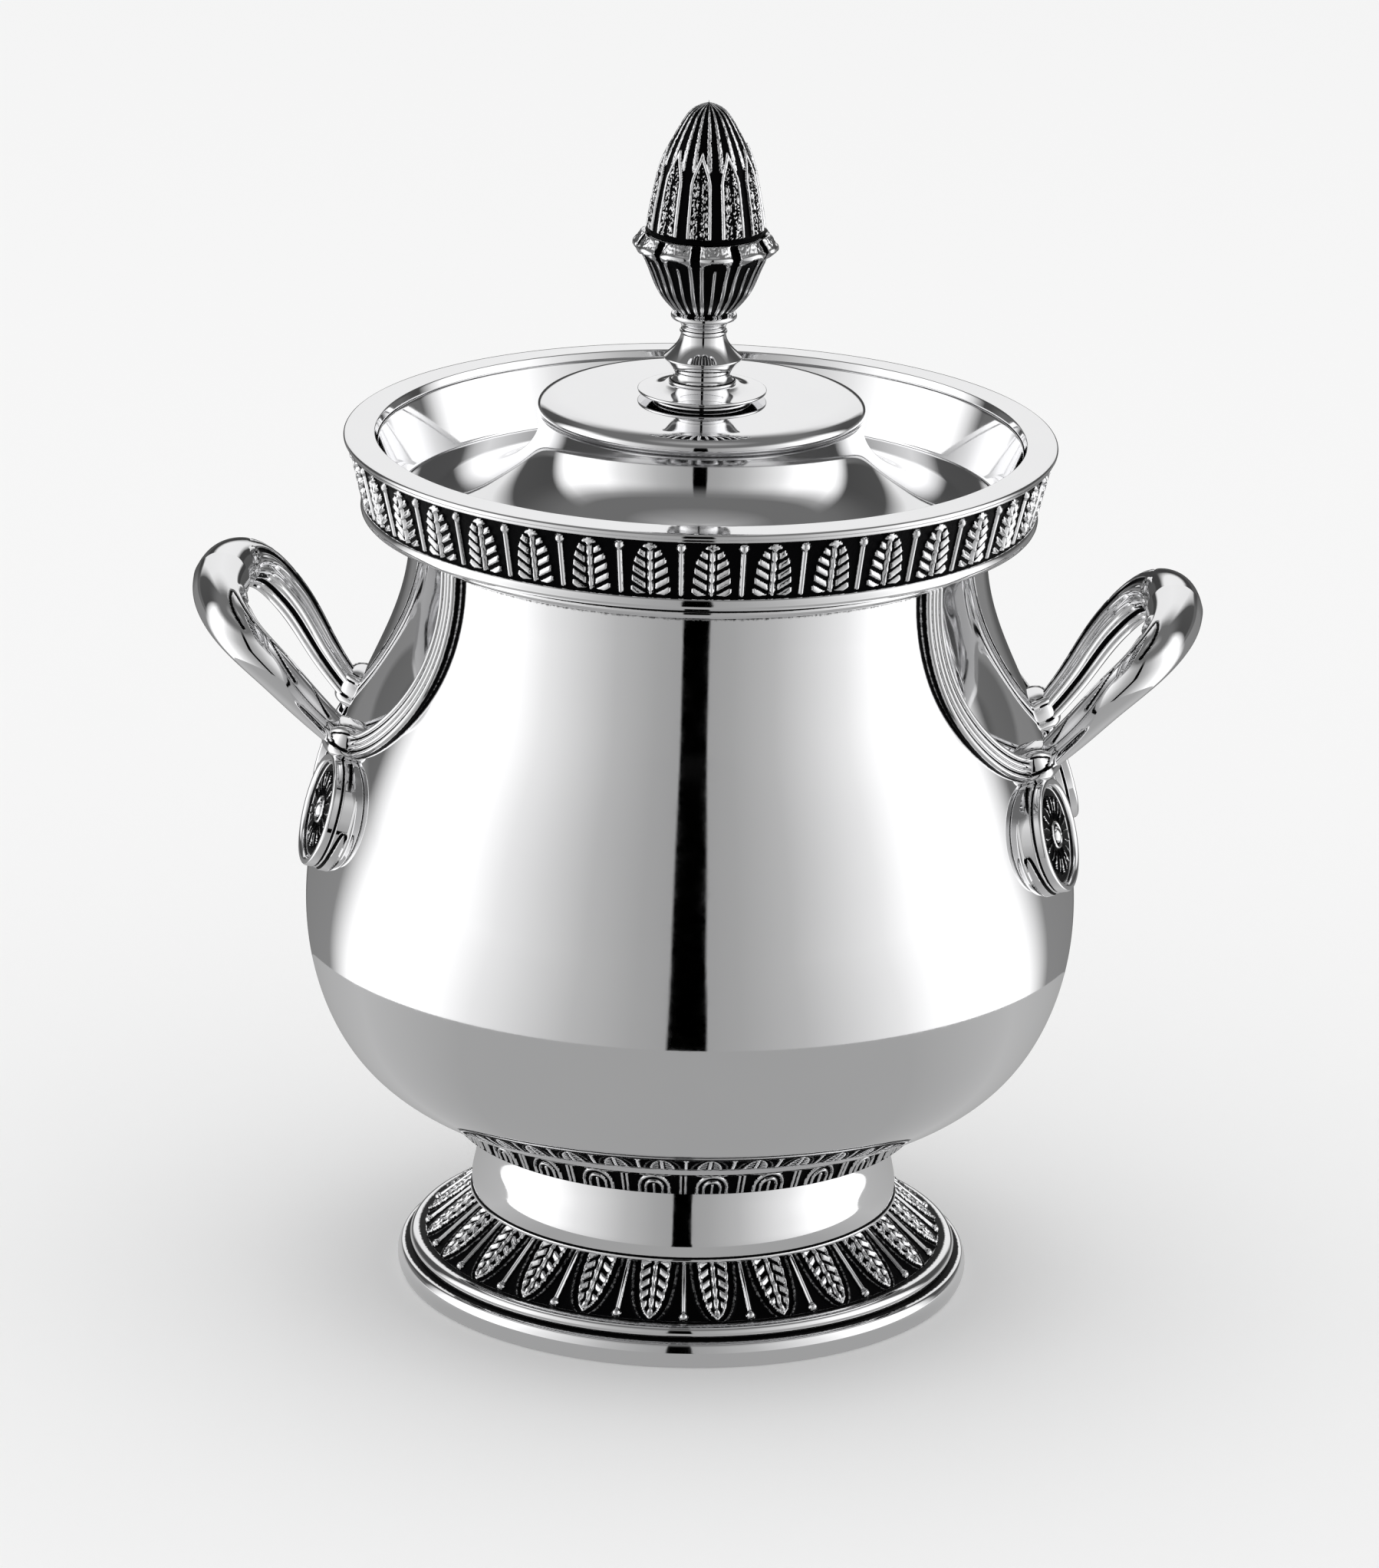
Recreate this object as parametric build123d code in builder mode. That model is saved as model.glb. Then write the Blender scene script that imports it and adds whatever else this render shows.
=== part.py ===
from build123d import *
import os
from math import cos, sin, radians

# Two-handled silver sugar bowl on a waisted foot, with a lift-off lid and a bud finial.
# Millimetres, +Z up. The origin is the centre of the ring that the bowl stands on.
# The handles point along +X and -X, and the front is -Y.

os.makedirs("parts", exist_ok=True)

# ---- driving dimensions ----
TOTAL_HEIGHT = 155.0
WALL = 1.1                      # spun sheet of the body
LID_WALL = 1.0                  # spun sheet of the lid

FOOT_RADIUS = 36.8
FOOT_RING_HEIGHT = 5.0
FOOT_BORE = 31.4
SKIRT_BOTTOM_RADIUS = 33.7
SKIRT_TOP_RADIUS = 27.0
SKIRT_TOP_HEIGHT = 10.7
NECK_WAIST_RADIUS = 26.7
NECK_WAIST_HEIGHT = 16.5
NECK_TOP_RADIUS = 27.9
NECK_TOP_HEIGHT = 21.0
COLLAR_INNER_RADIUS = 26.2
COLLAR_EDGE_RADIUS = 30.0

BOWL_BOTTOM_HEIGHT = 23.2
BOWL_BOTTOM_RADIUS = 27.0
BELLY_RADIUS = 49.1
BELLY_HEIGHT = 48.6
MOUTH_RADIUS = 36.5             # outside of the shell at the neck
MOUTH_HEIGHT = 101.2

RIM_RADIUS = 45.0
RIM_HEIGHT = 111.8
FRIEZE_BOTTOM_HEIGHT = 102.8
FRIEZE_TOP_HEIGHT = 110.7
FRIEZE_BOTTOM_RADIUS = 42.4
FRIEZE_TOP_RADIUS = 44.3
GALLERY_FLOOR_RADIUS = 38.1
GALLERY_BASE_RADIUS = 38.9      # outside of the sloping wall, level with the mouth
LEDGE_HEIGHT = 102.2

LID_FLANGE_RADIUS = 37.9        # 0.2 clear of the gallery wall
LID_SEAT_GAP = 0.05
DRUM_RADIUS = 20.7
DRUM_HEIGHT = 116.9
DRUM_WIDEST_HEIGHT = 115.4
LID_COLLAR_RADIUS = 35.0        # 0.4 clear of the mouth
LID_COLLAR_DEPTH = 5.4

STUD_RADIUS = 1.5
STUD_BORE = 1.55
STUD_BOTTOM = 112.1
STUD_TOP = 146.0
STEM_BOTTOM = 118.7
CALYX_BOTTOM = 127.7
BUD_BOTTOM = 137.9

STRAP_WIDTH = 3.2
STRAP_PROUD = 1.3               # how far the strap stands off the body
STRAP_DEPTH = 3.0
KNOT_AZIMUTH = 14.5             # degrees from the handle's own plane
KNOT_HEIGHT = 73.4
MEDALLION_AZIMUTH = 17.5
MEDALLION_HEIGHT = 65.4
MEDALLION_FACE_RADIUS = 49.2    # distance of the face's centre from the bowl's axis
MEDALLION_TURN = 14.0           # azimuth that the face looks towards
MEDALLION_TILT = 16.0           # the face also looks up by this
MEDALLION_RADIUS = 7.3
MEDALLION_RECESS_RADIUS = 6.2
MEDALLION_RECESS = 0.9
BAIL_ROOT_RADIUS = 1.7
BAIL_BEND_RADIUS = 3.6


def save(piece, name):
    """Labels a finished sub-part and writes its STEP file."""
    piece.part.label = name
    export_step(piece.part, f"parts/{name}.step")


# ---- bowl shell ----
# The pear-shaped outside, from the flat bottom out round the belly and up to the neck.
# It is drawn flat, with x as the radius and y as the height.
with BuildLine() as bowl_outline:
    Line((0, BOWL_BOTTOM_HEIGHT), (BOWL_BOTTOM_RADIUS, BOWL_BOTTOM_HEIGHT))
    bowl_side = Spline(
        (BOWL_BOTTOM_RADIUS, BOWL_BOTTOM_HEIGHT),
        (34.4, 25.0),
        (42.2, 30.2),
        (47.3, 39.0),
        (BELLY_RADIUS, BELLY_HEIGHT),
        (46.9, 65.5),
        (42.7, 77.6),
        (38.3, 88.0),
        (36.7, 95.0),
        (MOUTH_RADIUS, MOUTH_HEIGHT),
    )

with BuildPart() as bowl_core:
    with BuildSketch(Plane.XZ):
        with BuildLine():
            add(bowl_outline.line)
            Line((MOUTH_RADIUS, MOUTH_HEIGHT), (0, MOUTH_HEIGHT))
            Line((0, MOUTH_HEIGHT), (0, BOWL_BOTTOM_HEIGHT))
        make_face()
    revolve(axis=Axis.Z)

# The inside runs one wall thickness in from the outside.
INSIDE_STEPS = 14
inside_points = []
for step in range(INSIDE_STEPS + 1):
    place = step / INSIDE_STEPS
    outside = bowl_side @ place
    along = bowl_side % place
    inside_points.append((outside.X - WALL * along.Y, outside.Y + WALL * along.X))
inside_points[-1] = (MOUTH_RADIUS - WALL, MOUTH_HEIGHT)
with BuildPart() as bowl_shell:
    with BuildSketch(Plane.XZ):
        with BuildLine():
            add(bowl_outline.line)
            Line((MOUTH_RADIUS, MOUTH_HEIGHT), inside_points[-1])
            Spline(*inside_points)
            Line(inside_points[0], (0, inside_points[0][1]))
            Line((0, inside_points[0][1]), (0, BOWL_BOTTOM_HEIGHT))
        make_face()
    revolve(axis=Axis.Z)
save(bowl_shell, "bowl_shell")


def body_radius(height):
    """Outside radius of the bowl shell at a height above the belly."""
    low, high = 0.3, 1.0
    for _ in range(40):
        middle = (low + high) / 2
        if (bowl_side @ middle).Y < height:
            low = middle
        else:
            high = middle
    return (bowl_side @ low).X


def on_body(azimuth, height, proud):
    """A point that stands proud of the body, at an azimuth from the handle's plane, on the -Y side."""
    radius = body_radius(height) + proud
    return Vector(radius * cos(radians(azimuth)), -radius * sin(radians(azimuth)), height)


# ---- rim ----
GALLERY_TOP_RADIUS = 40.65
GALLERY_WALL = 1.25
with BuildPart() as mouth_gallery:
    with BuildSketch(Plane.XZ):
        with BuildLine():
            Polyline(
                (MOUTH_RADIUS - WALL, MOUTH_HEIGHT),
                (GALLERY_BASE_RADIUS, MOUTH_HEIGHT),
                (GALLERY_TOP_RADIUS + GALLERY_WALL, FRIEZE_TOP_HEIGHT),
                (GALLERY_TOP_RADIUS, FRIEZE_TOP_HEIGHT),
                (GALLERY_FLOOR_RADIUS, 103.3),
                (GALLERY_FLOOR_RADIUS, LEDGE_HEIGHT),
                (MOUTH_RADIUS - WALL, LEDGE_HEIGHT),
                close=True,
            )
        make_face()
    revolve(axis=Axis.Z)
save(mouth_gallery, "mouth_gallery")

# Turned moulding: a bead against the neck, a hollow, and a wider bead under the frieze.
# Its back follows the sloping gallery wall.
GALLERY_BACK_RADIUS = GALLERY_BASE_RADIUS + (GALLERY_TOP_RADIUS + GALLERY_WALL - GALLERY_BASE_RADIUS) * (
    (FRIEZE_BOTTOM_HEIGHT - MOUTH_HEIGHT) / (FRIEZE_TOP_HEIGHT - MOUTH_HEIGHT)
)
with BuildPart() as rim_lower_moulding:
    with BuildSketch(Plane.XZ):
        with BuildLine():
            Line((MOUTH_RADIUS, MOUTH_HEIGHT), (MOUTH_RADIUS, 99.0))
            ThreePointArc((MOUTH_RADIUS, 99.0), (37.6, 99.2), (37.9, 99.9))
            ThreePointArc((37.9, 99.9), (39.4, 100.9), (41.4, 101.3))
            ThreePointArc((41.4, 101.3), (42.7, 101.9), (FRIEZE_BOTTOM_RADIUS, FRIEZE_BOTTOM_HEIGHT))
            Polyline(
                (FRIEZE_BOTTOM_RADIUS, FRIEZE_BOTTOM_HEIGHT),
                (GALLERY_BACK_RADIUS, FRIEZE_BOTTOM_HEIGHT),
                (GALLERY_BASE_RADIUS, MOUTH_HEIGHT),
                (MOUTH_RADIUS, MOUTH_HEIGHT),
            )
        make_face()
    revolve(axis=Axis.Z)
    add(bowl_core.part, mode=Mode.SUBTRACT)
save(rim_lower_moulding, "rim_lower_moulding")

FRIEZE_THICKNESS = 1.3
with BuildPart() as rim_frieze_band:
    with BuildSketch(Plane.XZ):
        with BuildLine():
            Polyline(
                (FRIEZE_BOTTOM_RADIUS, FRIEZE_BOTTOM_HEIGHT),
                (FRIEZE_TOP_RADIUS, FRIEZE_TOP_HEIGHT),
                (FRIEZE_TOP_RADIUS - FRIEZE_THICKNESS, FRIEZE_TOP_HEIGHT),
                (FRIEZE_BOTTOM_RADIUS - FRIEZE_THICKNESS, FRIEZE_BOTTOM_HEIGHT),
                close=True,
            )
        make_face()
    revolve(axis=Axis.Z)
save(rim_frieze_band, "rim_frieze_band")

with BuildPart() as rim_top_ring:
    with BuildSketch(Plane.XZ):
        with BuildLine():
            Line((GALLERY_TOP_RADIUS, FRIEZE_TOP_HEIGHT), (FRIEZE_TOP_RADIUS, FRIEZE_TOP_HEIGHT))
            Line((FRIEZE_TOP_RADIUS, FRIEZE_TOP_HEIGHT), (44.5, 110.95))
            ThreePointArc((44.5, 110.95), (RIM_RADIUS, 111.3), (44.7, 111.7))
            Line((44.7, 111.7), (41.1, RIM_HEIGHT))
            Line((41.1, RIM_HEIGHT), (GALLERY_TOP_RADIUS, FRIEZE_TOP_HEIGHT))
        make_face()
    revolve(axis=Axis.Z)
save(rim_top_ring, "rim_top_ring")

# ---- foot ----
with BuildPart() as foot_rim_ring:
    with BuildSketch(Plane.XZ):
        with BuildLine():
            Line((FOOT_BORE, 0), (36.2, 0))
            ThreePointArc((36.2, 0), (FOOT_RADIUS, 1.7), (36.3, 3.2))
            Line((36.3, 3.2), (35.1, 3.5))
            ThreePointArc((35.1, 3.5), (35.2, 4.4), (34.4, FOOT_RING_HEIGHT))
            Polyline((34.4, FOOT_RING_HEIGHT), (FOOT_BORE, FOOT_RING_HEIGHT), (FOOT_BORE, 0))
        make_face()
    revolve(axis=Axis.Z)
save(foot_rim_ring, "foot_rim_ring")

SKIRT_THICKNESS = 1.5           # measured upright
with BuildPart() as foot_frieze_skirt:
    with BuildSketch(Plane.XZ):
        with BuildLine():
            Polyline(
                (SKIRT_BOTTOM_RADIUS, FOOT_RING_HEIGHT),
                (SKIRT_TOP_RADIUS, SKIRT_TOP_HEIGHT),
                (SKIRT_TOP_RADIUS, SKIRT_TOP_HEIGHT - SKIRT_THICKNESS),
                (SKIRT_BOTTOM_RADIUS - 2.0, FOOT_RING_HEIGHT),
                close=True,
            )
        make_face()
    revolve(axis=Axis.Z)
save(foot_frieze_skirt, "foot_frieze_skirt")

NECK_FOOT = (27.5, SKIRT_TOP_HEIGHT + 0.5)
NECK_SHOULDER = (27.0, 19.8)    # under the small ring that carries the collar
NECK_INNER_FOOT = (SKIRT_TOP_RADIUS - 1.3, SKIRT_TOP_HEIGHT - SKIRT_THICKNESS)
with BuildPart() as foot_neck:
    with BuildSketch(Plane.XZ):
        with BuildLine():
            Polyline(
                NECK_INNER_FOOT,
                (SKIRT_TOP_RADIUS, SKIRT_TOP_HEIGHT - SKIRT_THICKNESS),
                (SKIRT_TOP_RADIUS, SKIRT_TOP_HEIGHT + 0.2),
                NECK_FOOT,
            )
            Spline(NECK_FOOT, (NECK_WAIST_RADIUS, NECK_WAIST_HEIGHT), NECK_SHOULDER)
            Polyline(
                NECK_SHOULDER,
                (NECK_TOP_RADIUS, NECK_TOP_HEIGHT - 0.6),
                (NECK_TOP_RADIUS, NECK_TOP_HEIGHT),
                (COLLAR_INNER_RADIUS, NECK_TOP_HEIGHT),
            )
            Spline(
                (COLLAR_INNER_RADIUS, NECK_TOP_HEIGHT),
                (NECK_WAIST_RADIUS - WALL, NECK_WAIST_HEIGHT),
                NECK_INNER_FOOT,
            )
        make_face()
    revolve(axis=Axis.Z)
save(foot_neck, "foot_neck")

# The leaf collar fills the corner between the foot and the underside of the bowl.
COLLAR_TOP = (31.6, 24.6)       # just inside the bowl, which trims it
with BuildPart() as belly_collar_frieze:
    with BuildSketch(Plane.XZ):
        with BuildLine():
            Polyline(
                (COLLAR_INNER_RADIUS, NECK_TOP_HEIGHT),
                (COLLAR_EDGE_RADIUS, NECK_TOP_HEIGHT),
                COLLAR_TOP,
                (COLLAR_INNER_RADIUS, COLLAR_TOP[1]),
                close=True,
            )
        make_face()
    revolve(axis=Axis.Z)
    add(bowl_core.part, mode=Mode.SUBTRACT)
save(belly_collar_frieze, "belly_collar_frieze")

# ---- handles: the right-hand, front pieces are drawn, and the others mirror them ----
# Frame of a medallion's face: its normal looks outwards and a little up.
face_turn = radians(MEDALLION_TURN)
face_tilt = radians(MEDALLION_TILT)
face_normal = Vector(
    cos(face_turn) * cos(face_tilt), -sin(face_turn) * cos(face_tilt), sin(face_tilt)
)
face_centre = Vector(
    MEDALLION_FACE_RADIUS * cos(radians(MEDALLION_AZIMUTH)),
    -MEDALLION_FACE_RADIUS * sin(radians(MEDALLION_AZIMUTH)),
    MEDALLION_HEIGHT,
)
face_across = Vector(sin(face_turn), cos(face_turn), 0)
face_plane = Plane(origin=face_centre, x_dir=face_across, z_dir=face_normal)

MEDALLION_DEPTH = 8.0           # long enough to reach the curved body all round
FLANGE_SETBACK = 3.0            # the back flange starts this far behind the face
FLANGE_RADIUS = MEDALLION_RADIUS + 0.5
with BuildPart() as medallion:
    with BuildSketch(face_plane):
        Circle(MEDALLION_RADIUS)
    extrude(amount=-MEDALLION_DEPTH)
    fillet(medallion.faces().sort_by(Axis.X)[-1].edges(), 0.5)
    with BuildSketch(face_plane.offset(-FLANGE_SETBACK)):
        Circle(FLANGE_RADIUS)
    extrude(amount=FLANGE_SETBACK - MEDALLION_DEPTH)
    with BuildSketch(face_plane):
        Circle(MEDALLION_RECESS_RADIUS)
    extrude(amount=-MEDALLION_RECESS, mode=Mode.SUBTRACT)
    add(bowl_core.part, mode=Mode.SUBTRACT)

# The rosette is a domed disc with a ring of petals, set in the recess.
PETALS = 10
PETAL_CENTRE_RADIUS = 3.5
PETAL_HALF_LENGTH = 2.1
PETAL_HALF_WIDTH = 1.15
BOSS_RADIUS = 1.6
PETAL_PROUD = 0.7
BOSS_PROUD = 0.5                # above the petals
recess_floor = face_plane.offset(-MEDALLION_RECESS)
with BuildPart() as rosette:
    with BuildSketch(recess_floor):
        Circle(BOSS_RADIUS)
        with PolarLocations(PETAL_CENTRE_RADIUS, PETALS):
            Ellipse(PETAL_HALF_LENGTH, PETAL_HALF_WIDTH)
    extrude(amount=PETAL_PROUD)
    with BuildSketch(recess_floor.offset(PETAL_PROUD)):
        Circle(BOSS_RADIUS - 0.2)
    extrude(amount=BOSS_PROUD, taper=20)

# The tie where the loop, the strap and the medallion meet.
knot_middle = on_body(KNOT_AZIMUTH, KNOT_HEIGHT, 0.6)
knot_plane = Plane(
    origin=knot_middle,
    x_dir=Vector(sin(radians(KNOT_AZIMUTH)), cos(radians(KNOT_AZIMUTH)), 0),
    z_dir=Vector(cos(radians(KNOT_AZIMUTH)), -sin(radians(KNOT_AZIMUTH)), 0.45),
)
KNOT_WIDTH = 7.4
KNOT_LENGTH = 5.0
KNOT_PROUD = 2.3
KNOT_DEPTH = 3.0                # how far the tie reaches back, to be trimmed by the body
with BuildPart() as knot:
    with BuildSketch(knot_plane.offset(-KNOT_DEPTH)):
        RectangleRounded(KNOT_WIDTH, KNOT_LENGTH, 2.0)
    extrude(amount=KNOT_DEPTH + KNOT_PROUD)
    fillet(knot.faces().sort_by(Axis.X)[-1].edges(), 1.2)
    add(bowl_core.part, mode=Mode.SUBTRACT)
    add(medallion.part, mode=Mode.SUBTRACT)

# The reeded strap lies on the body, from the tie up to the moulding under the rim.
# Each pair is an azimuth from the handle's plane and a height.
STRAP_ROUTE = [(36.2, 99.1), (36.2, 91.5), (34.5, 84.0), (29.6, 78.4), (23.8, 75.2), (17.2, 73.3)]
STRAP_STATIONS = 9
strap_line = Spline(*[on_body(azimuth, height, 0) for azimuth, height in STRAP_ROUTE])
STRAP_EDGE_PROUD = STRAP_PROUD - 0.35
half_strap = STRAP_WIDTH / 2
with BuildPart() as strap:
    for station in range(STRAP_STATIONS):
        place = station / (STRAP_STATIONS - 1)
        middle = strap_line @ place
        along = strap_line % place
        outwards = Vector(middle.X, middle.Y, 0).normalized()
        across = along.cross(outwards)
        with BuildSketch(Plane(origin=middle, x_dir=across, z_dir=along)):
            with BuildLine():
                Polyline(
                    (-half_strap, STRAP_EDGE_PROUD),
                    (-half_strap, STRAP_PROUD - STRAP_DEPTH),
                    (half_strap, STRAP_PROUD - STRAP_DEPTH),
                    (half_strap, STRAP_EDGE_PROUD),
                )
                ThreePointArc(
                    (half_strap, STRAP_EDGE_PROUD), (0, STRAP_PROUD), (-half_strap, STRAP_EDGE_PROUD)
                )
            make_face()
    loft()
    add(bowl_core.part, mode=Mode.SUBTRACT)
    add(knot.part, mode=Mode.SUBTRACT)
    add(medallion.part, mode=Mode.SUBTRACT)
    add(rim_lower_moulding.part, mode=Mode.SUBTRACT)

# The cast loop leaves the front tie, spreads as it rises outwards, closes in a thick bend
# and comes back to the rear tie. Its two halves mirror each other.
BAIL_HALF_ROUTE = [
    (43.6, -9.6, 72.6),
    (48.2, -12.2, 78.0),
    (52.6, -15.3, 83.8),
    (56.6, -15.2, 87.9),
    (59.6, -9.2, 90.2),
]
bail_far_route = [(x, -y, z) for x, y, z in reversed(BAIL_HALF_ROUTE)]
bail_line = Spline(*BAIL_HALF_ROUTE, (60.4, 0, 90.6), *bail_far_route)
BAIL_STATIONS = 8               # sections in one half
with BuildPart() as bail:
    for station in range(BAIL_STATIONS):
        share = station / (BAIL_STATIONS - 1)
        thickness = BAIL_ROOT_RADIUS + (BAIL_BEND_RADIUS - BAIL_ROOT_RADIUS) * share
        with BuildSketch(Plane(origin=bail_line @ (share / 2), z_dir=bail_line % (share / 2))):
            Circle(thickness)
    loft()
    mirror(about=Plane.XZ)
    add(bowl_core.part, mode=Mode.SUBTRACT)
    for neighbour in (knot.part, medallion.part):
        add(neighbour, mode=Mode.SUBTRACT)
        add(mirror(neighbour, about=Plane.XZ, mode=Mode.PRIVATE), mode=Mode.SUBTRACT)

save(bail, "right_bail")
with BuildPart() as left_bail:
    mirror(bail.part, about=Plane.YZ)
save(left_bail, "left_bail")

HANDLE_PIECES = {"medallion": medallion, "rosette": rosette, "knot": knot, "strap": strap}
for name, piece in HANDLE_PIECES.items():
    save(piece, f"right_{name}_front")
    with BuildPart() as right_rear:
        mirror(piece.part, about=Plane.XZ)
    save(right_rear, f"right_{name}_rear")
    with BuildPart() as left_front:
        mirror(piece.part, about=Plane.YZ)
    save(left_front, f"left_{name}_front")
    with BuildPart() as left_rear:
        mirror(right_rear.part, about=Plane.YZ)
    save(left_rear, f"left_{name}_rear")

# ---- lid ----
FLANGE_BOTTOM = LEDGE_HEIGHT + LID_SEAT_GAP
FLANGE_TOP = 103.3
FLANK_FOOT_RADIUS = 33.5        # where the concave flank runs out into the flange
DRUM_FLAT_RADIUS = 17.5         # the shoulder rounds down from here to the widest circle
INSIDE_SHOULDER = (19.7, 115.0)
with BuildPart() as lid_cover:
    with BuildSketch(Plane.XZ):
        with BuildLine():
            Polyline(
                (STUD_BORE, DRUM_HEIGHT - LID_WALL),
                (STUD_BORE, DRUM_HEIGHT),
                (DRUM_FLAT_RADIUS, DRUM_HEIGHT),
            )
            Spline(
                (DRUM_FLAT_RADIUS, DRUM_HEIGHT),
                (DRUM_RADIUS, DRUM_WIDEST_HEIGHT),
                tangents=((1, 0), (0, -1)),
            )
            Spline(
                (DRUM_RADIUS, DRUM_WIDEST_HEIGHT),
                (20.3, 111.9),
                (22.2, 108.7),
                (26.0, 105.9),
                (30.0, 104.1),
                (FLANK_FOOT_RADIUS, FLANGE_TOP),
            )
            Polyline(
                (FLANK_FOOT_RADIUS, FLANGE_TOP),
                (LID_FLANGE_RADIUS, FLANGE_TOP),
                (LID_FLANGE_RADIUS, FLANGE_BOTTOM),
                (FLANK_FOOT_RADIUS, FLANGE_BOTTOM),
            )
            Spline(
                (FLANK_FOOT_RADIUS, FLANGE_BOTTOM),
                (29.6, 103.1),
                (25.4, 105.0),
                (21.4, 108.0),
                (19.3, 111.8),
                INSIDE_SHOULDER,
            )
            ThreePointArc(INSIDE_SHOULDER, (19.0, 115.6), (17.4, DRUM_HEIGHT - LID_WALL))
            Line((17.4, DRUM_HEIGHT - LID_WALL), (STUD_BORE, DRUM_HEIGHT - LID_WALL))
        make_face()
    revolve(axis=Axis.Z)
save(lid_cover, "lid_cover")

with BuildPart() as lid_locating_collar:
    with BuildSketch(Plane.XY.offset(FLANGE_BOTTOM - LID_COLLAR_DEPTH)):
        Circle(LID_COLLAR_RADIUS)
        Circle(LID_COLLAR_RADIUS - LID_WALL, mode=Mode.SUBTRACT)
    extrude(amount=LID_COLLAR_DEPTH)
save(lid_locating_collar, "lid_locating_collar")

# ---- finial, threaded on one stud ----
BASE_STEP_RADIUS = 6.3
with BuildPart() as finial_base:
    with BuildSketch(Plane.XZ):
        with BuildLine():
            Polyline(
                (STUD_BORE, STEM_BOTTOM),
                (STUD_BORE, DRUM_HEIGHT),
                (BASE_STEP_RADIUS, DRUM_HEIGHT),
                (BASE_STEP_RADIUS, 117.2),
                (7.9, 117.5),
            )
            ThreePointArc((7.9, 117.5), (8.15, 117.7), (7.9, 117.9))
            Polyline((7.9, 117.9), (4.6, STEM_BOTTOM), (STUD_BORE, STEM_BOTTOM))
        make_face()
    revolve(axis=Axis.Z)
save(finial_base, "finial_base")

# A small ring, a notch, a sharp-edged bulge, the thin neck and the ring under the calyx.
STEM_BULGE = (5.0, 122.0)
STEM_NECK = (2.75, 126.0)
STEM_RING_RADIUS = 4.05
with BuildPart() as finial_stem:
    with BuildSketch(Plane.XZ):
        with BuildLine():
            Polyline(
                (STUD_BORE, CALYX_BOTTOM),
                (STUD_BORE, STEM_BOTTOM),
                (4.2, STEM_BOTTOM),
                (4.2, 119.0),
                (3.55, 119.8),
                STEM_BULGE,
            )
            Spline(STEM_BULGE, (3.6, 123.4), (2.85, 124.9), STEM_NECK)
            ThreePointArc(STEM_NECK, (3.2, 126.8), (STEM_RING_RADIUS, 127.1))
            Polyline(
                (STEM_RING_RADIUS, 127.1),
                (STEM_RING_RADIUS, CALYX_BOTTOM),
                (STUD_BORE, CALYX_BOTTOM),
            )
        make_face()
    revolve(axis=Axis.Z)
save(finial_stem, "finial_stem")

CALYX_FOOT = (3.7, CALYX_BOTTOM)
CALYX_LIP = (8.9, 136.4)
with BuildPart() as finial_calyx:
    with BuildSketch(Plane.XZ):
        with BuildLine():
            Polyline((STUD_BORE, BUD_BOTTOM), (STUD_BORE, CALYX_BOTTOM), CALYX_FOOT)
            Spline(CALYX_FOOT, (6.0, 130.4), (7.65, 134.2), CALYX_LIP)
            Polyline(CALYX_LIP, (7.9, BUD_BOTTOM), (STUD_BORE, BUD_BOTTOM))
        make_face()
    revolve(axis=Axis.Z)
save(finial_calyx, "finial_calyx")

BUD_FOOT = (7.65, BUD_BOTTOM)
STUD_HOLE_TOP = STUD_TOP + 0.5
with BuildPart() as finial_bud:
    with BuildSketch(Plane.XZ):
        with BuildLine():
            Polyline(
                (0, TOTAL_HEIGHT),
                (0, STUD_HOLE_TOP),
                (STUD_BORE, STUD_HOLE_TOP),
                (STUD_BORE, BUD_BOTTOM),
                BUD_FOOT,
            )
            Spline(
                BUD_FOOT,
                (7.3, 140.4),
                (6.6, 144.2),
                (5.6, 148.1),
                (3.65, 152.1),
                (2.2, 154.0),
                (0, TOTAL_HEIGHT),
            )
        make_face()
    revolve(axis=Axis.Z)
save(finial_bud, "finial_bud")

with BuildPart() as finial_stud:
    with BuildSketch(Plane.XY.offset(STUD_BOTTOM)):
        Circle(STUD_RADIUS)
    extrude(amount=STUD_TOP - STUD_BOTTOM)
save(finial_stud, "finial_stud")

WASHER_THICKNESS = 0.6
NUT_THICKNESS = 2.4
NUT_ACROSS_FLATS = 5.5
WASHER_RADIUS = 4.5
washer_bottom = DRUM_HEIGHT - LID_WALL - WASHER_THICKNESS
with BuildPart() as finial_washer:
    with BuildSketch(Plane.XY.offset(washer_bottom)):
        Circle(WASHER_RADIUS)
        Circle(STUD_BORE, mode=Mode.SUBTRACT)
    extrude(amount=WASHER_THICKNESS)
save(finial_washer, "finial_washer")

with BuildPart() as finial_nut:
    with BuildSketch(Plane.XY.offset(washer_bottom - NUT_THICKNESS)):
        RegularPolygon(NUT_ACROSS_FLATS / 2, 6, major_radius=False)
        Circle(STUD_BORE, mode=Mode.SUBTRACT)
    extrude(amount=NUT_THICKNESS)
save(finial_nut, "finial_nut")
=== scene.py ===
from math import atan2, cos, degrees, pi, radians, sin, tau

import bmesh
import bpy
import numpy as np
from mathutils import Matrix, Vector


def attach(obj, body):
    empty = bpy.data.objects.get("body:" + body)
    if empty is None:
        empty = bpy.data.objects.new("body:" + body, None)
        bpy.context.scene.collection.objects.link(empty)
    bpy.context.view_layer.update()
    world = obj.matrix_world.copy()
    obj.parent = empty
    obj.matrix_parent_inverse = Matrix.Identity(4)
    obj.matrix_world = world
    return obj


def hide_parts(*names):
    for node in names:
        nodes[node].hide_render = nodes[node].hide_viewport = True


# A silver sugar bowl: turned silver with a blackened ground behind its cast and stamped leaves.
# The outlines below are in millimetres, as in the CAD source, and the meshes are made in metres.

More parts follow.
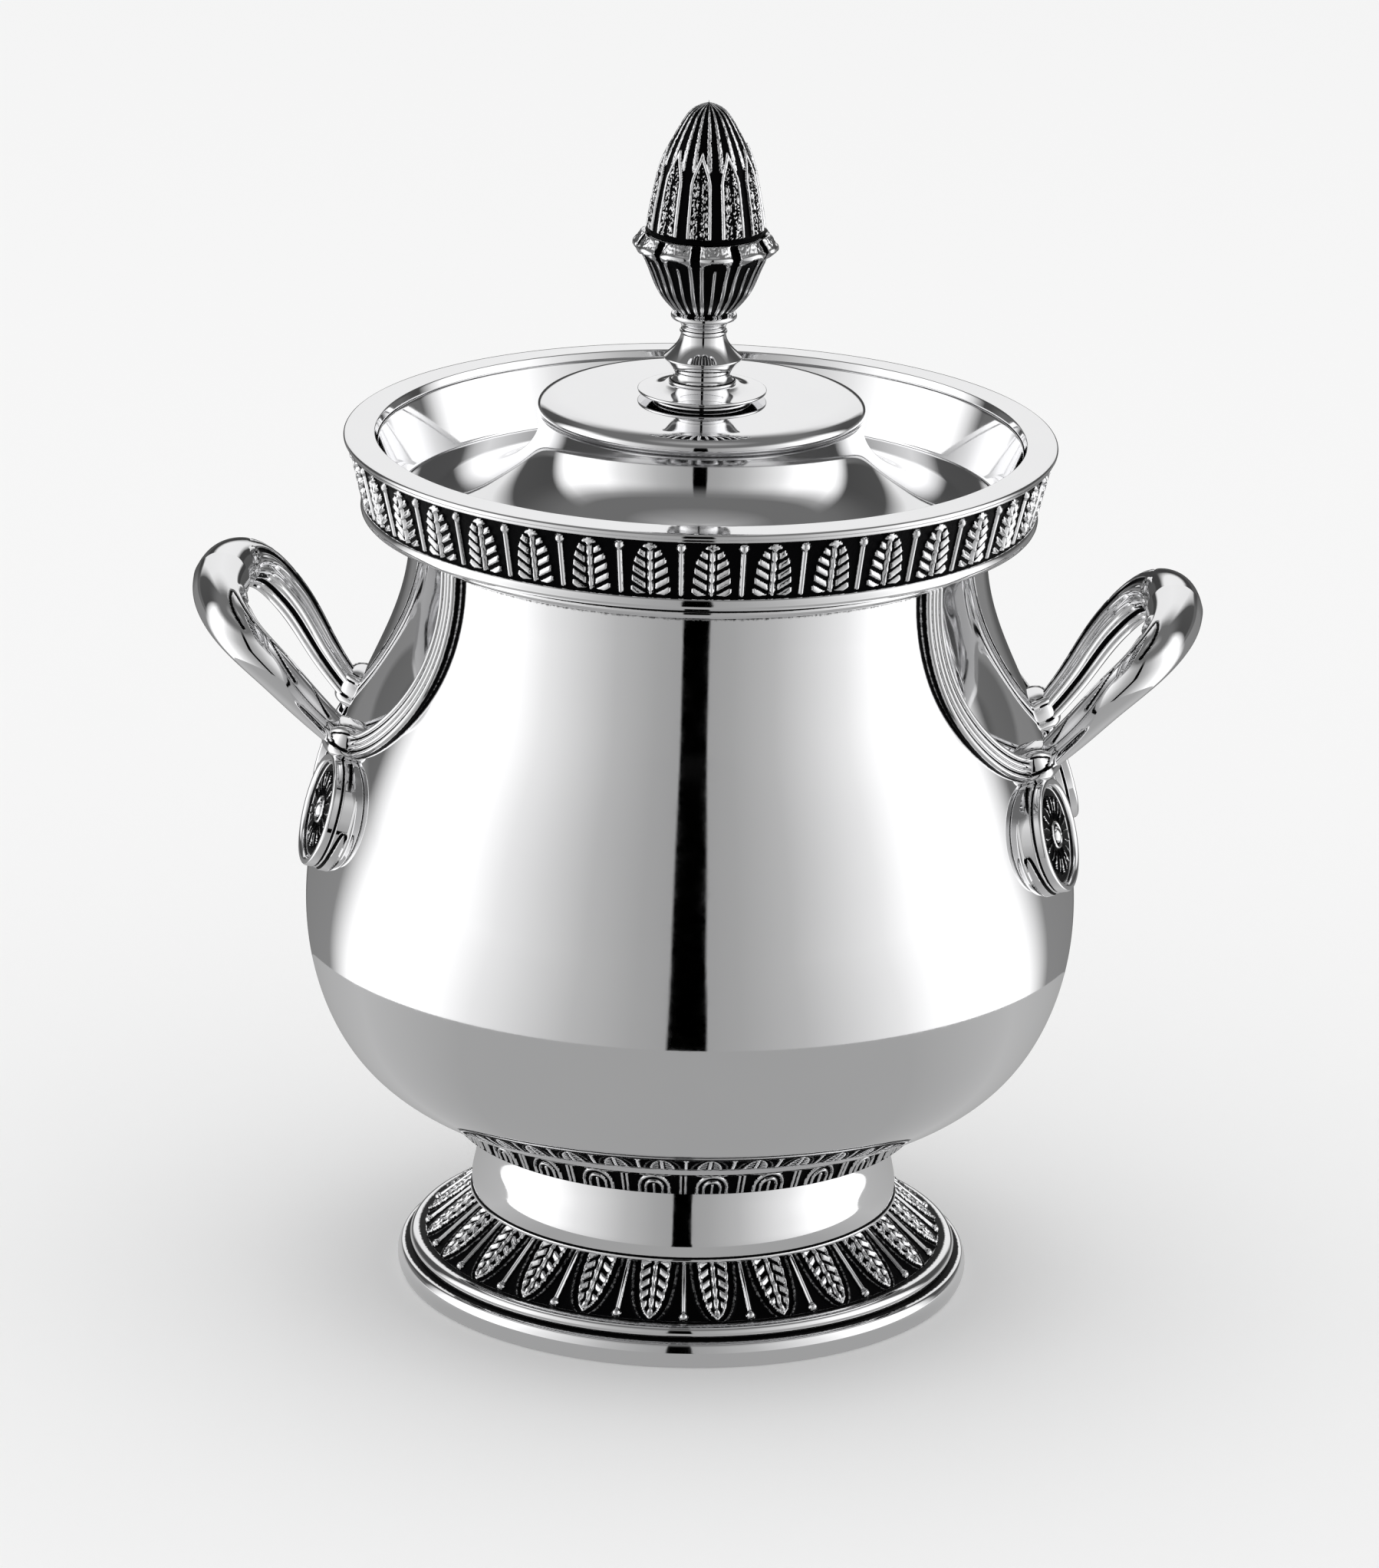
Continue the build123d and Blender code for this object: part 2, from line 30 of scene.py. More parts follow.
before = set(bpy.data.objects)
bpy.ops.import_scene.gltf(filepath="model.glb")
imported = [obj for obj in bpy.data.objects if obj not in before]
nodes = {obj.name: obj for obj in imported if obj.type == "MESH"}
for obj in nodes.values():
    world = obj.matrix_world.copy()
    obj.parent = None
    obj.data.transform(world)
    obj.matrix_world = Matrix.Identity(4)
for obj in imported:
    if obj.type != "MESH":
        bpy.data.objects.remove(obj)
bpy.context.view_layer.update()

MM = 0.001
AROUND = 288                    # segments of a plain turned ring
SEED = 7

# ---- driving dimensions, as in the CAD source ----
WALL = 1.1
LID_WALL = 1.0
FOOT_BORE = 31.4
FOOT_RING_HEIGHT = 5.0
NECK_BOTTOM_HEIGHT = 9.2
NECK_TOP_HEIGHT = 21.0
SKIRT_BOTTOM, SKIRT_TOP = (33.7, FOOT_RING_HEIGHT), (27.0, 10.7)
MOUTH_RADIUS = 36.5
MOUTH_HEIGHT = 101.2
FRIEZE_BOTTOM_HEIGHT = 102.8
FRIEZE_TOP_HEIGHT = 110.7
RIM_HEIGHT = 111.8
GALLERY_BASE_RADIUS = 38.9      # outside of the sloping wall, level with the mouth
GALLERY_FLOOR_RADIUS = 38.1
GALLERY_TOP_RADIUS = 40.65
GALLERY_WALL = 1.25
LEDGE_HEIGHT = 102.2
FLANGE_BOTTOM_HEIGHT, FLANGE_TOP_HEIGHT = 102.25, 103.3
FLANGE_INNER_RADIUS, FLANGE_RADIUS = 33.5, 37.9
DRUM_FLAT_RADIUS = 17.5         # where the drum's flat top turns down into its shoulder
DRUM_SHOULDER = 3.2
DRUM_HEIGHT = 116.9
DRUM_WIDEST_HEIGHT = 115.4
STUD_BORE = 1.55
STEM_BOTTOM = 118.7
CALYX_BOTTOM = 127.7
BUD_BOTTOM = 137.9
TOTAL_HEIGHT = 155.0
BODY_SIDE = [
    (27.0, 23.2), (34.4, 25.0), (42.2, 30.2), (47.3, 39.0), (49.1, 48.6),
    (46.9, 65.5), (42.7, 77.6), (38.3, 88.0), (36.7, 95.0), (36.5, 101.2),
]

CAMERA_TURN = 2.0               # the viewer stands this many degrees from -Y towards +X


# ---- curves ----
def spline(points, count):
    """count + 1 points along a natural cubic spline through the given points."""
    p = np.array(points, float)
    knots = np.concatenate([[0.0], np.cumsum(np.linalg.norm(np.diff(p, axis=0), axis=1))])
    gaps = np.diff(knots)
    system = np.eye(len(p))
    load = np.zeros(p.shape)
    for i in range(1, len(p) - 1):
        system[i, i - 1:i + 2] = gaps[i - 1], 2 * (gaps[i - 1] + gaps[i]), gaps[i]
        load[i] = 6 * ((p[i + 1] - p[i]) / gaps[i] - (p[i] - p[i - 1]) / gaps[i - 1])
    bend = np.linalg.solve(system, load)
    at = np.linspace(0, knots[-1], count + 1)
    i = np.clip(np.searchsorted(knots, at, side="right") - 1, 0, len(gaps) - 1)
    gap = gaps[i][:, None]
    b = (at - knots[i])[:, None] / gap
    a = 1 - b
    curve = a * p[i] + b * p[i + 1]
    return curve + ((a**3 - a) * bend[i] + (b**3 - b) * bend[i + 1]) * gap**2 / 6


def arc(start, via, end, count=10):
    """count + 1 points on the circle arc from start through via to end."""
    (ax, ay), (bx, by), (cx, cy) = start, via, end
    d = 2 * (ax * (by - cy) + bx * (cy - ay) + cx * (ay - by))
    a2, b2, c2 = ax**2 + ay**2, bx**2 + by**2, cx**2 + cy**2
    ux = (a2 * (by - cy) + b2 * (cy - ay) + c2 * (ay - by)) / d
    uy = (a2 * (cx - bx) + b2 * (ax - cx) + c2 * (bx - ax)) / d
    first, middle, last = (atan2(y - uy, x - ux) for x, y in (start, via, end))
    sweep = (last - first) % tau
    if (middle - first) % tau > sweep:
        sweep -= tau
    turn = first + np.linspace(0, sweep, count + 1)
    radius = ((ax - ux) ** 2 + (ay - uy) ** 2) ** 0.5
    return np.stack([ux + radius * np.cos(turn), uy + radius * np.sin(turn)], 1)


def line(start, end, step=1.0):
    """Points along a straight line, no further apart than step."""
    count = max(1, int(np.ceil(np.linalg.norm(np.subtract(end, start)) / step)))
    return np.linspace(start, end, count + 1).astype(float)


def joined(*parts):
    """One outline from several runs of points, each starting where the last ended."""
    points = np.concatenate([np.atleast_2d(np.array(part, float)) for part in parts])
    keep = np.concatenate([[True], np.linalg.norm(np.diff(points, axis=0), axis=1) > 1e-4])
    return points[keep]


def corners(*points):
    """Straight runs from corner to corner."""
    return joined(*(line(start, end) for start, end in zip(points[:-1], points[1:])))


def softened(points, radius=0.18, sharp=24):
    """The outline with each corner sharper than `sharp` degrees rounded off, as polishing leaves it."""
    result = [points[0]]
    for before, corner, after in zip(points[:-2], points[1:-1], points[2:]):
        back, ahead = before - corner, after - corner
        back_length, ahead_length = np.linalg.norm(back), np.linalg.norm(ahead)
        cosine = -(back @ ahead) / (back_length * ahead_length)
        if degrees(np.arccos(np.clip(cosine, -1, 1))) < sharp:
            result.append(corner)
            continue
        back_cut = min(radius, 0.45 * back_length)
        ahead_cut = min(radius, 0.45 * ahead_length)
        first = corner + back / back_length * back_cut
        last = corner + ahead / ahead_length * ahead_cut
        if back_length > 3 * back_cut:
            result.append(first + back / back_length * back_cut * 0.5)
        for t in np.linspace(0, 1, 5):
            result.append((1 - t) ** 2 * first + 2 * t * (1 - t) * corner + t**2 * last)
        if ahead_length > 3 * ahead_cut:
            result.append(last + ahead / ahead_length * ahead_cut * 0.5)
    result.append(points[-1])
    return np.array(result)


def smooth(value, low, high):
    """0 below low, 1 above high, and an S-curve in between."""
    t = np.clip((value - low) / (high - low), 0, 1)
    return t * t * (3 - 2 * t)


def ridge(distance, half_width):
    """A round-topped ridge: 1 on its crest, 0 from half_width outwards."""
    return np.sqrt(np.clip(1 - (distance / half_width) ** 2, 0, 1))


# ---- the body's outside, which the handles' pieces are pressed on to ----
body_side = spline(BODY_SIDE, 400)


def body_radius(height):
    """Outside radius of the bowl at a height, in millimetres."""
    return np.interp(height, body_side[:, 1], body_side[:, 0])


def on_body(azimuth, height, proud):
    """A point proud of the body, at an azimuth in degrees from +X towards -Y."""
    reach = body_radius(height) + proud
    return np.array([reach * cos(radians(azimuth)), -reach * sin(radians(azimuth)), height])


def pressed(points, depth=0.45):
    """Points that would reach through the bowl's wall, moved out to lie inside its thickness."""
    reach = np.hypot(points[..., 0], points[..., 1])
    least = body_radius(points[..., 2]) - depth
    grow = np.where(reach < least, least / np.maximum(reach, 1e-6), 1.0)
    moved = points.copy()
    moved[..., 0] *= grow
    moved[..., 1] *= grow
    return moved


# ---- meshes ----
def added(name, data):
    """A new object in the scene."""
    made = bpy.data.objects.new(name, data)
    bpy.context.scene.collection.objects.link(made)
    return made


def grid_mesh(name, points, tarnish=None, wrap_rows=True, capped=False):
    """A mesh from points in millimetres of shape (around, along, 3). It closes round the first index,
    and along the second where wrap_rows is true. capped closes the two open ends with a face each."""
    around, along = points.shape[:2]
    mesh = bpy.data.meshes.new(name)
    index = np.arange(around * along).reshape(around, along)
    ahead = np.roll(index, -1, axis=0)
    if wrap_rows:
        a, b = index, ahead
        c, d = np.roll(ahead, -1, axis=1), np.roll(index, -1, axis=1)
    else:
        a, b, c, d = index[:, :-1], ahead[:, :-1], ahead[:, 1:], index[:, 1:]
    faces = np.stack([a, b, c, d], -1).reshape(-1, 4).tolist()
    if capped:
        faces += [index[::-1, 0].tolist(), index[:, -1].tolist()]
    mesh.from_pydata((points.reshape(-1, 3) * MM).tolist(), [], faces)
    dark = mesh.attributes.new("tarnish", "FLOAT", "POINT")
    if tarnish is not None:
        dark.data.foreach_set("value", np.asarray(tarnish, np.float32).ravel())
    tidy = bmesh.new()
    tidy.from_mesh(mesh)
    bmesh.ops.remove_doubles(tidy, verts=tidy.verts, dist=1e-7)
    bmesh.ops.recalc_face_normals(tidy, faces=tidy.faces)
    for face in tidy.faces:
        face.smooth = True
    tidy.to_mesh(mesh)
    tidy.free()
    return added(name, mesh)


def revolve(outline, angles):
    """Points of shape (angles, outline, 3) from an outline of (radius, height) pairs."""
    radius, height = outline[:, 0], outline[:, 1]
    return np.stack(
        [
            np.outer(np.cos(angles), radius),
            np.outer(np.sin(angles), radius),
            np.broadcast_to(height, (len(angles), len(height))),
        ],
        -1,
    )


def placed(points, matrix):
    """Points moved by a 4x4 matrix in millimetres, or as they are if it is None."""
    if matrix is None:
        return points
    m = np.array(matrix)
    return points @ m[:3, :3].T + m[:3, 3]


def turned(name, outline, crevice_shade_and_tarnish=(), matrix=None, on_bowl=False, segments=AROUND):
    """A turned ring or disc from its closed outline. An outline that touches the axis starts and ends
    there. The listed crevices get a dark line, part tarnish and part painted shade: height, reach up and
    down, least radius."""
    outline = softened(outline)
    on_axis = outline[0][0] < 1e-6
    if not on_axis:
        outline = outline[:-1] if np.allclose(outline[0], outline[-1]) else outline
    points = revolve(outline, np.linspace(0, tau, segments, endpoint=False))
    tarnish = np.zeros(len(outline))
    # Each listed crevice gets a dark line in the tarnish attribute: part tarnish, part painted shade where
    # the crevice lies in shadow.
    for height, reach, least_radius in crevice_shade_and_tarnish:
        near = 1 - smooth(np.abs(outline[:, 1] - height), reach * 0.3, reach)
        tarnish = np.maximum(tarnish, near * (outline[:, 0] > least_radius))
    points = placed(points, matrix)
    if on_bowl:
        points = pressed(points)
    spread = np.broadcast_to(tarnish, (segments, len(outline)))
    return grid_mesh(name, points, spread, wrap_rows=not on_axis)


def banded(name, face, back, cells, turn, columns, pattern, sink=0.0, matrix=None, on_bowl=False):
    """A ring whose face carries a relief that repeats round it. face is the run of (radius, height)
    points that carries it, back the points that close the outline behind, and turn the azimuth in
    degrees of the middle of one cell. pattern(x, y, cell) takes millimetres across and along the
    face and the cell's width there, and gives the height in millimetres and the tarnish."""
    step = np.gradient(face, axis=0)
    length = np.linalg.norm(step, axis=1)
    normal = np.stack([step[:, 1], -step[:, 0]], 1) / length[:, None]
    y = np.concatenate([[0.0], np.cumsum(np.linalg.norm(np.diff(face, axis=0), axis=1))])
    share = (np.arange(cells * columns) % columns + 0.5) / columns - 0.5
    angles = radians(turn) + (np.arange(cells * columns) + 0.5) / columns * tau / cells - pi / cells
    cell = tau * np.maximum(face[:, 0], 1e-6) / cells
    height, tarnish = pattern(np.outer(share, cell), y[None, :], cell[None, :])
    edge = smooth(y, 0, 0.12) * smooth(y[-1] - y, 0, 0.12)
    lift = (height - sink) * edge
    radius = face[:, 0] + lift * normal[:, 0]
    rise = face[:, 1] + lift * normal[:, 1]
    radius = np.maximum(radius, 0) * (face[:, 0] > 1e-6)
    points = np.stack([np.cos(angles)[:, None] * radius, np.sin(angles)[:, None] * radius, rise], -1)
    behind = revolve(np.array(back, float).reshape(-1, 2), angles)
    points = np.concatenate([points, behind], 1)
    tarnish = np.concatenate([np.broadcast_to(tarnish, height.shape), np.zeros(behind.shape[:2])], 1)
    points = placed(points, matrix)
    if on_bowl:
        points = pressed(points)
    closed = face[0][0] > 1e-6 and face[-1][0] > 1e-6
    return grid_mesh(name, points, tarnish, wrap_rows=closed)


def swept(name, path, across, up, section, tarnish=None, on_bowl=False):
    """A bar along path with unit vectors across and up at each point. section is of shape
    (stations, points, 2): each station's closed outline in the across and up directions."""
    sideways = section[..., :1] * across[:, None, :]
    points = path[:, None, :] + sideways + section[..., 1:] * up[:, None, :]
    if on_bowl:
        points = pressed(points)
    points = np.swapaxes(points, 0, 1)
    if tarnish is not None:
        tarnish = np.swapaxes(tarnish, 0, 1)
    return grid_mesh(name, points, tarnish, wrap_rows=False, capped=True)


def unit(vectors):
    """The vectors scaled to length 1."""
    return vectors / np.linalg.norm(vectors, axis=-1, keepdims=True)


# ---- relief patterns ----
noise = np.random.default_rng(SEED)


def pitted(shape):
    """The faint roughness that a punch leaves on the ground between the leaves."""
    return noise.normal(0, 0.012, shape)


def speckle(shape):
    """Blotches of about two grid steps, centred on 0, for the leaves' worn and beaded middles."""
    fine = noise.normal(0, 0.5, shape)
    return fine + np.roll(fine, 1, 0) + np.roll(fine, 1, 1) + np.roll(fine, (1, 1), (0, 1))


def leaf(x, y, half, length, lobes, slope, bordered=0.0):
    """A veined leaf with its foot at y = 0 and its tip at y = length: its height from 0 to 1, its
    tarnish, and 1 inside its edge."""
    t = np.clip(y / length, 0, 1)
    side = np.abs(x)
    phase = (y - side * slope) / length * lobes
    lobe = phase - np.floor(phase)
    width = half * (1 - t**2.7) ** 0.56 * (0.94 + 0.06 * np.sin(pi * lobe))
    inside = smooth(width - side, -0.02, 0.12) * smooth(y, 0, 0.15)
    slit = 1 - smooth(np.minimum(lobe, 1 - lobe), 0.13, 0.27)
    slit = slit * smooth(side, 0.1, 0.4) * smooth(y, 0, 0.3)
    rib = ridge(side, 0.26)
    groove = ridge(side - 0.42, 0.2) * (1 - smooth(t, 0.86, 0.97))
    vein = ridge(lobe - 0.42, 0.12) * 0.25
    crown = 0.5 + 0.28 * np.sin(pi * lobe) ** 0.8 + vein - 0.22 * side / half
    height = np.maximum(crown * (1 - 0.75 * slit) * (1 - 0.6 * groove), rib * (1 - 0.3 * t))
    dark = np.maximum(slit, groove * 0.9)
    if bordered:
        border = ridge(width - side - bordered, bordered)
        height = np.maximum(height, 0.85 * border)
        dark = dark * (1 - smooth(border, 0.2, 0.6))
    dark = np.where(rib > 0.25, 0.0, dark)
    return height * inside, dark, inside


def rim_leaves(x, y, cell):
    """Upright palmettes with thin stems between them, each stem with a ball on top."""
    height, dark, inside = leaf(x, y - 0.45, 2.45, 7.2, 5.0, 0.62)
    from_stem = cell / 2 - np.abs(x)
    stem = ridge(from_stem, 0.33) * smooth(y, 0.3, 0.5) * (1 - smooth(y, 7.1, 7.3))
    ball = ridge(np.hypot(from_stem, y - 7.0), 0.62)
    raised = np.maximum(stem * 0.8, ball * 1.1)
    tarnish = np.where(inside > 0.5, dark, 1 - smooth(raised, 0.15, 0.5))
    total = 0.6 * np.maximum(height, raised)
    return total + pitted(total.shape) * (tarnish > 0.5), tarnish


def foot_leaves(x, y, cell):
    """Narrower leaves that point outwards, each with a raised outline, and stems ending in a bead."""
    run = SKIRT_LENGTH - y
    height, dark, inside = leaf(x, run, 1.95, SKIRT_LENGTH - 0.55, 5.2, 0.75, bordered=0.18)
    from_stem = cell / 2 - np.abs(x)
    stem = ridge(from_stem, 0.3) * smooth(y, 0.9, 1.1)
    bead = ridge(np.hypot(from_stem, y - 1.0), 0.6)
    raised = np.maximum(stem * 0.8, bead * 1.1)
    t = np.clip(run / (SKIRT_LENGTH - 0.1), 0, 1)
    outline = ridge(np.abs(x) - 2.75 * (1 - t**3) ** 0.5, 0.3) * (inside < 0.05) * 0.35
    tarnish = np.where(inside > 0.5, dark, 1 - smooth(raised, 0.15, 0.5))
    tarnish = tarnish * (1 - 0.45 * smooth(outline, 0.1, 0.3))
    total = 0.6 * np.maximum(np.maximum(height, raised), outline)
    return total + pitted(total.shape) * (tarnish > 0.5), tarnish


def collar_leaves(x, y, cell):
    """A row of small arches, one inside another, with a bar between neighbours."""
    reach = np.hypot(x * 1.15, np.maximum(y - 0.9, 0))
    rings = np.maximum(ridge(reach - 2.15, 0.27), ridge(reach - 1.2, 0.24))
    rib = ridge(x, 0.2) * (y < 1.6)
    bar = ridge(cell / 2 - np.abs(x) - 0.3, 0.22)
    raised = np.maximum(np.maximum(rings, rib), bar)
    return 0.42 * raised, 1 - smooth(raised, 0.2, 0.6)


def calyx_leaves(x, y, cell):
    """Leaves side by side, each with a raised edge, a rib, a round top and a lip that turns out."""
    u = np.abs(x) / cell
    top = CALYX_ARCH
    above = np.maximum(y - (top - 1.8), 0) / 1.8
    loop = np.hypot(u / 0.35, above)
    edge = ridge((loop - 1) * 0.35 * cell, 0.3) * (y < top + 0.4)
    rib = 0.8 * ridge(x, 0.24) * smooth(y, 0.2, 0.8) * (1 - smooth(y, top - 2.2, top - 1.4))
    lip_top = 0.62 + 0.1 * speckle(np.broadcast_shapes(x.shape, y.shape))
    lip = smooth(loop, 0.97, 1.03) * smooth(y, top - 1.2, top - 0.7) * (1 - smooth(u, 0.37, 0.42))
    swell = np.clip(1 - (u / 0.42) ** 2, 0, 1)
    rim = lip * (1 - smooth(y, top + 0.35, top + 0.8))
    gap = smooth(u, 0.4, 0.45) * smooth(y, 0.6, top - 1.0)
    raised = np.maximum(np.maximum(edge, rib), np.maximum(lip * lip_top, rim))
    height = 0.25 * raised + 0.5 * lip * swell - 0.5 * gap * smooth(y, top - 3.0, top)
    return height, 1 - smooth(raised, 0.25, 0.65)


def bud_leaves(x, y, cell):
    """A lower row of tall pointed leaves with speckled middles, and a slimmer row behind them."""
    shape = np.broadcast_shapes(x.shape, y.shape)
    u = np.abs(x) / cell
    width = np.maximum(cell, 0.5)
    rough = speckle(shape)
    half = 0.36 - 0.36 * smooth(y, BUD_LOWER_TIP - 4.2, BUD_LOWER_TIP + 1.2) ** 0.9
    half = half * (y < BUD_LOWER_TIP)
    from_side = (half - u) * width
    lower = smooth(from_side, -0.02, 0.08) * smooth(y, 0.7, 1.1)
    edge = ridge(from_side - 0.24, 0.24) * (1 - 0.12 * np.abs(rough))
    middle = 0.38 + 0.34 * rough - 0.6 * ridge(x, 0.24)
    inner = np.maximum(edge, middle * smooth(from_side, 0.45, 0.6))
    v = 0.5 - u
    strip = ridge((v - 0.23) * width, 0.12 * width) * (0.85 - 0.22 * np.abs(rough))
    upper = strip * smooth(y, BUD_LOWER_TIP - 3.2, BUD_LOWER_TIP - 2.2)
    raised = np.where(lower > 0.5, inner, upper)
    height = 0.22 * raised + 0.23 * lower
    return height, 1 - smooth(raised, 0.3, 0.62)


def rosette_petals(x, y, cell):
    """Round-ended petals about a domed middle. y runs from the rim of the disc to its centre."""
    reach = ROSETTE_RADIUS - y
    boss = ridge(reach, 1.15)
    ring = ridge(reach - 1.6, 0.16)
    along = (reach - 2.0) / 3.1
    half = 0.36 * cell * np.clip(np.sin(pi * np.clip(along * 0.86 + 0.07, 0, 1)), 0, 1) ** 0.5
    petal = smooth(half - np.abs(x), 0, 0.14) * (along > 0) * (along < 1)
    cup = 0.2 + 0.8 * np.clip(np.abs(x) / np.maximum(half, 0.1), 0, 1) ** 3
    raised = np.maximum(np.maximum(boss * 1.2, ring * 0.7), petal * cup)
    return 0.75 * raised, 1 - smooth(raised, 0.35, 0.75)


def medallion_edge(x, y, cell):
    """The side of a medallion: a groove under the face's rim, and a tongue down from the tie on each
    side. x runs round it from the point nearest the tie, and y back from the face."""
    groove = ridge(y - 0.75, 0.2)
    along = (np.abs(x) - 2.0) / 9.0
    half = 0.85 * np.clip(1 - np.clip(along, 0, 1) ** 3, 0, 1) ** 0.5
    from_edge = np.abs(np.abs(y - 2.1) - half)
    outline = ridge(from_edge, 0.2) * (along > 0) * (along < 1)
    tongue = (np.abs(y - 2.1) < half) * (along > 0) * (along < 1)
    height = 0.25 * tongue - 0.2 * outline - 0.25 * groove
    return height, np.maximum(outline, 0.8 * groove)


# ---- materials ----
def node(tree, kind, **values):
    """A shader node with its properties, or failing that its inputs, set by name."""
    made = tree.nodes.new(kind)
    for name, value in values.items():
        if hasattr(made, name):
            setattr(made, name, value)
        else:
            made.inputs[name.replace("_", " ")].default_value = value
    return made


EDGE_GRAIN = 0.5                # how ragged the edge of the black is
BLACK_STARTS, BLACK_FULL = 0.3, 0.62    # tarnish at which the black begins and is complete
OXIDE_METALLIC = 0.9
OXIDE_ROUGHNESS = 0.55


def empty_material(name):
    """A material with an output and nothing else, and its node tree."""
    material = bpy.data.materials.new(name)
    material.use_nodes = True
    material.node_tree.nodes.clear()
    return material, material.node_tree, node(material.node_tree, "ShaderNodeOutputMaterial")


def silver(name, shine, worn, roughness, scratch, dark=(0.003, 0.003, 0.0035)):
    """Polished metal. shine and worn are its colours where freshly wiped and where handled, roughness
    a low and a high value, and dark the oxide that stays wherever the piece's tarnish is high, which on
    turned pieces' crevice lines is also painted shade."""
    material, tree, out = empty_material(name)
    link = tree.links.new
    shader = node(tree, "ShaderNodeBsdfPrincipled", Specular_IOR_Level=0.1)
    link(shader.outputs["BSDF"], out.inputs["Surface"])
    where = node(tree, "ShaderNodeTexCoord")

    cloud = node(tree, "ShaderNodeTexNoise", Scale=55.0, Detail=4.0, Roughness=0.55)
    link(where.outputs["Object"], cloud.inputs["Vector"])
    colour = node(tree, "ShaderNodeMix", data_type="RGBA")
    colour.inputs["A"].default_value = (*shine, 1)
    colour.inputs["B"].default_value = (*worn, 1)
    link(cloud.outputs["Fac"], colour.inputs["Factor"])

    # The tarnish attribute: oxide in the relief, and on turned pieces dark crevice lines that are part
    # tarnish, part painted shade.
    mark = node(tree, "ShaderNodeAttribute", attribute_name="tarnish")
    grain = node(tree, "ShaderNodeTexNoise", Scale=2600.0, Detail=3.0, Roughness=0.6)
    link(where.outputs["Object"], grain.inputs["Vector"])
    uneven = node(tree, "ShaderNodeMath", operation="MULTIPLY_ADD")
    link(grain.outputs["Fac"], uneven.inputs[0])
    uneven.inputs[1].default_value = EDGE_GRAIN
    uneven.inputs[2].default_value = -EDGE_GRAIN / 2
    depth = node(tree, "ShaderNodeMath", operation="ADD")
    link(mark.outputs["Fac"], depth.inputs[0])
    link(uneven.outputs["Value"], depth.inputs[1])
    edge = {"From_Min": BLACK_STARTS, "From_Max": BLACK_FULL}
    black = node(tree, "ShaderNodeMapRange", interpolation_type="SMOOTHSTEP", **edge)
    link(depth.outputs["Value"], black.inputs["Value"])
    stained = node(tree, "ShaderNodeMix", data_type="RGBA")
    link(black.outputs["Result"], stained.inputs["Factor"])
    link(colour.outputs["Result"], stained.inputs["A"])
    stained.inputs["B"].default_value = (*dark, 1)
    link(stained.outputs["Result"], shader.inputs["Base Color"])

    metal = node(tree, "ShaderNodeMapRange", To_Min=1.0, To_Max=OXIDE_METALLIC)
    link(black.outputs["Result"], metal.inputs["Value"])
    link(metal.outputs["Result"], shader.inputs["Metallic"])

    hairline = node(tree, "ShaderNodeTexNoise", Scale=420.0, Detail=6.0, Roughness=0.7)
    link(where.outputs["Object"], hairline.inputs["Vector"])
    low, high = roughness
    clean = node(tree, "ShaderNodeMapRange", From_Min=0.35, From_Max=0.75, To_Min=low, To_Max=high)
    link(hairline.outputs["Fac"], clean.inputs["Value"])
    rough = node(tree, "ShaderNodeMapRange", To_Max=OXIDE_ROUGHNESS)
    link(black.outputs["Result"], rough.inputs["Value"])
    link(clean.outputs["Result"], rough.inputs["To Min"])
    link(rough.outputs["Result"], shader.inputs["Roughness"])

    bump = node(tree, "ShaderNodeBump", Strength=scratch, Distance=0.00002)
    link(hairline.outputs["Fac"], bump.inputs["Height"])
    link(bump.outputs["Normal"], shader.inputs["Normal"])
    return material


polished = silver("polished_silver", (0.93, 0.93, 0.935), (0.885, 0.885, 0.895), (0.025, 0.07), 0.05)
oxidised = silver("oxidised_silver", (0.92, 0.92, 0.925), (0.84, 0.845, 0.86), (0.06, 0.16), 0.25)
satin = silver("satin_silver", (0.80, 0.80, 0.81), (0.70, 0.70, 0.72), (0.14, 0.26), 0.3)
steel = silver("fastener_steel", (0.58, 0.58, 0.59), (0.44, 0.44, 0.45), (0.22, 0.4), 0.8)


POLISHED = (polished, "polished_silver")
OXIDISED = (oxidised, "oxidised_silver")


def finished(piece, body, material, slot, *replaced):
    """Gives a piece its material, the body it moves with, and the CAD nodes that it stands for."""
    piece.data.materials.append(material)
    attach(piece, body)
    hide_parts(*replaced)
    return piece


# ---- bowl, rim and foot ----
FRONT = -90 + CAMERA_TURN       # azimuth of the side that faces the viewer
FRIEZE_BAND = 1.3               # thickness of the rim's band
LEAF_SINK = 0.35                # how far the ground behind the leaves lies below the band's face
RIM_PALMETTES = 36
FOOT_LEAVES = 24
COLLAR_ARCHES = 26
SKIRT_LENGTH = float(np.hypot(*np.subtract(SKIRT_TOP, SKIRT_BOTTOM)))


def make_shell():
    """The spun body: an even wall inside its outline, closed below."""
    side = spline(BODY_SIDE, 110)
    step = unit(np.gradient(side, axis=0))
    inside = side + WALL * np.stack([-step[:, 1], step[:, 0]], 1)
    inside[-1] = (MOUTH_RADIUS - WALL, MOUTH_HEIGHT)
    floor = side[0][1]
    outline = joined(
        line((0, floor), side[0], 3.0),
        side,
        inside[::-1],
        line(inside[0], (0, inside[0][1]), 3.0),
    )
    # Dark crevice lines, part tarnish and part painted shade: under the rim's moulding and above the collar.
    under_rim, above_collar = (99.0, 0.5, 36.0), (24.3, 1.2, 31.2)
    shell = turned("shell", outline, crevice_shade_and_tarnish=[under_rim, above_collar], segments=320)
    return finished(shell, "bowl", *POLISHED, "bowl_shell")


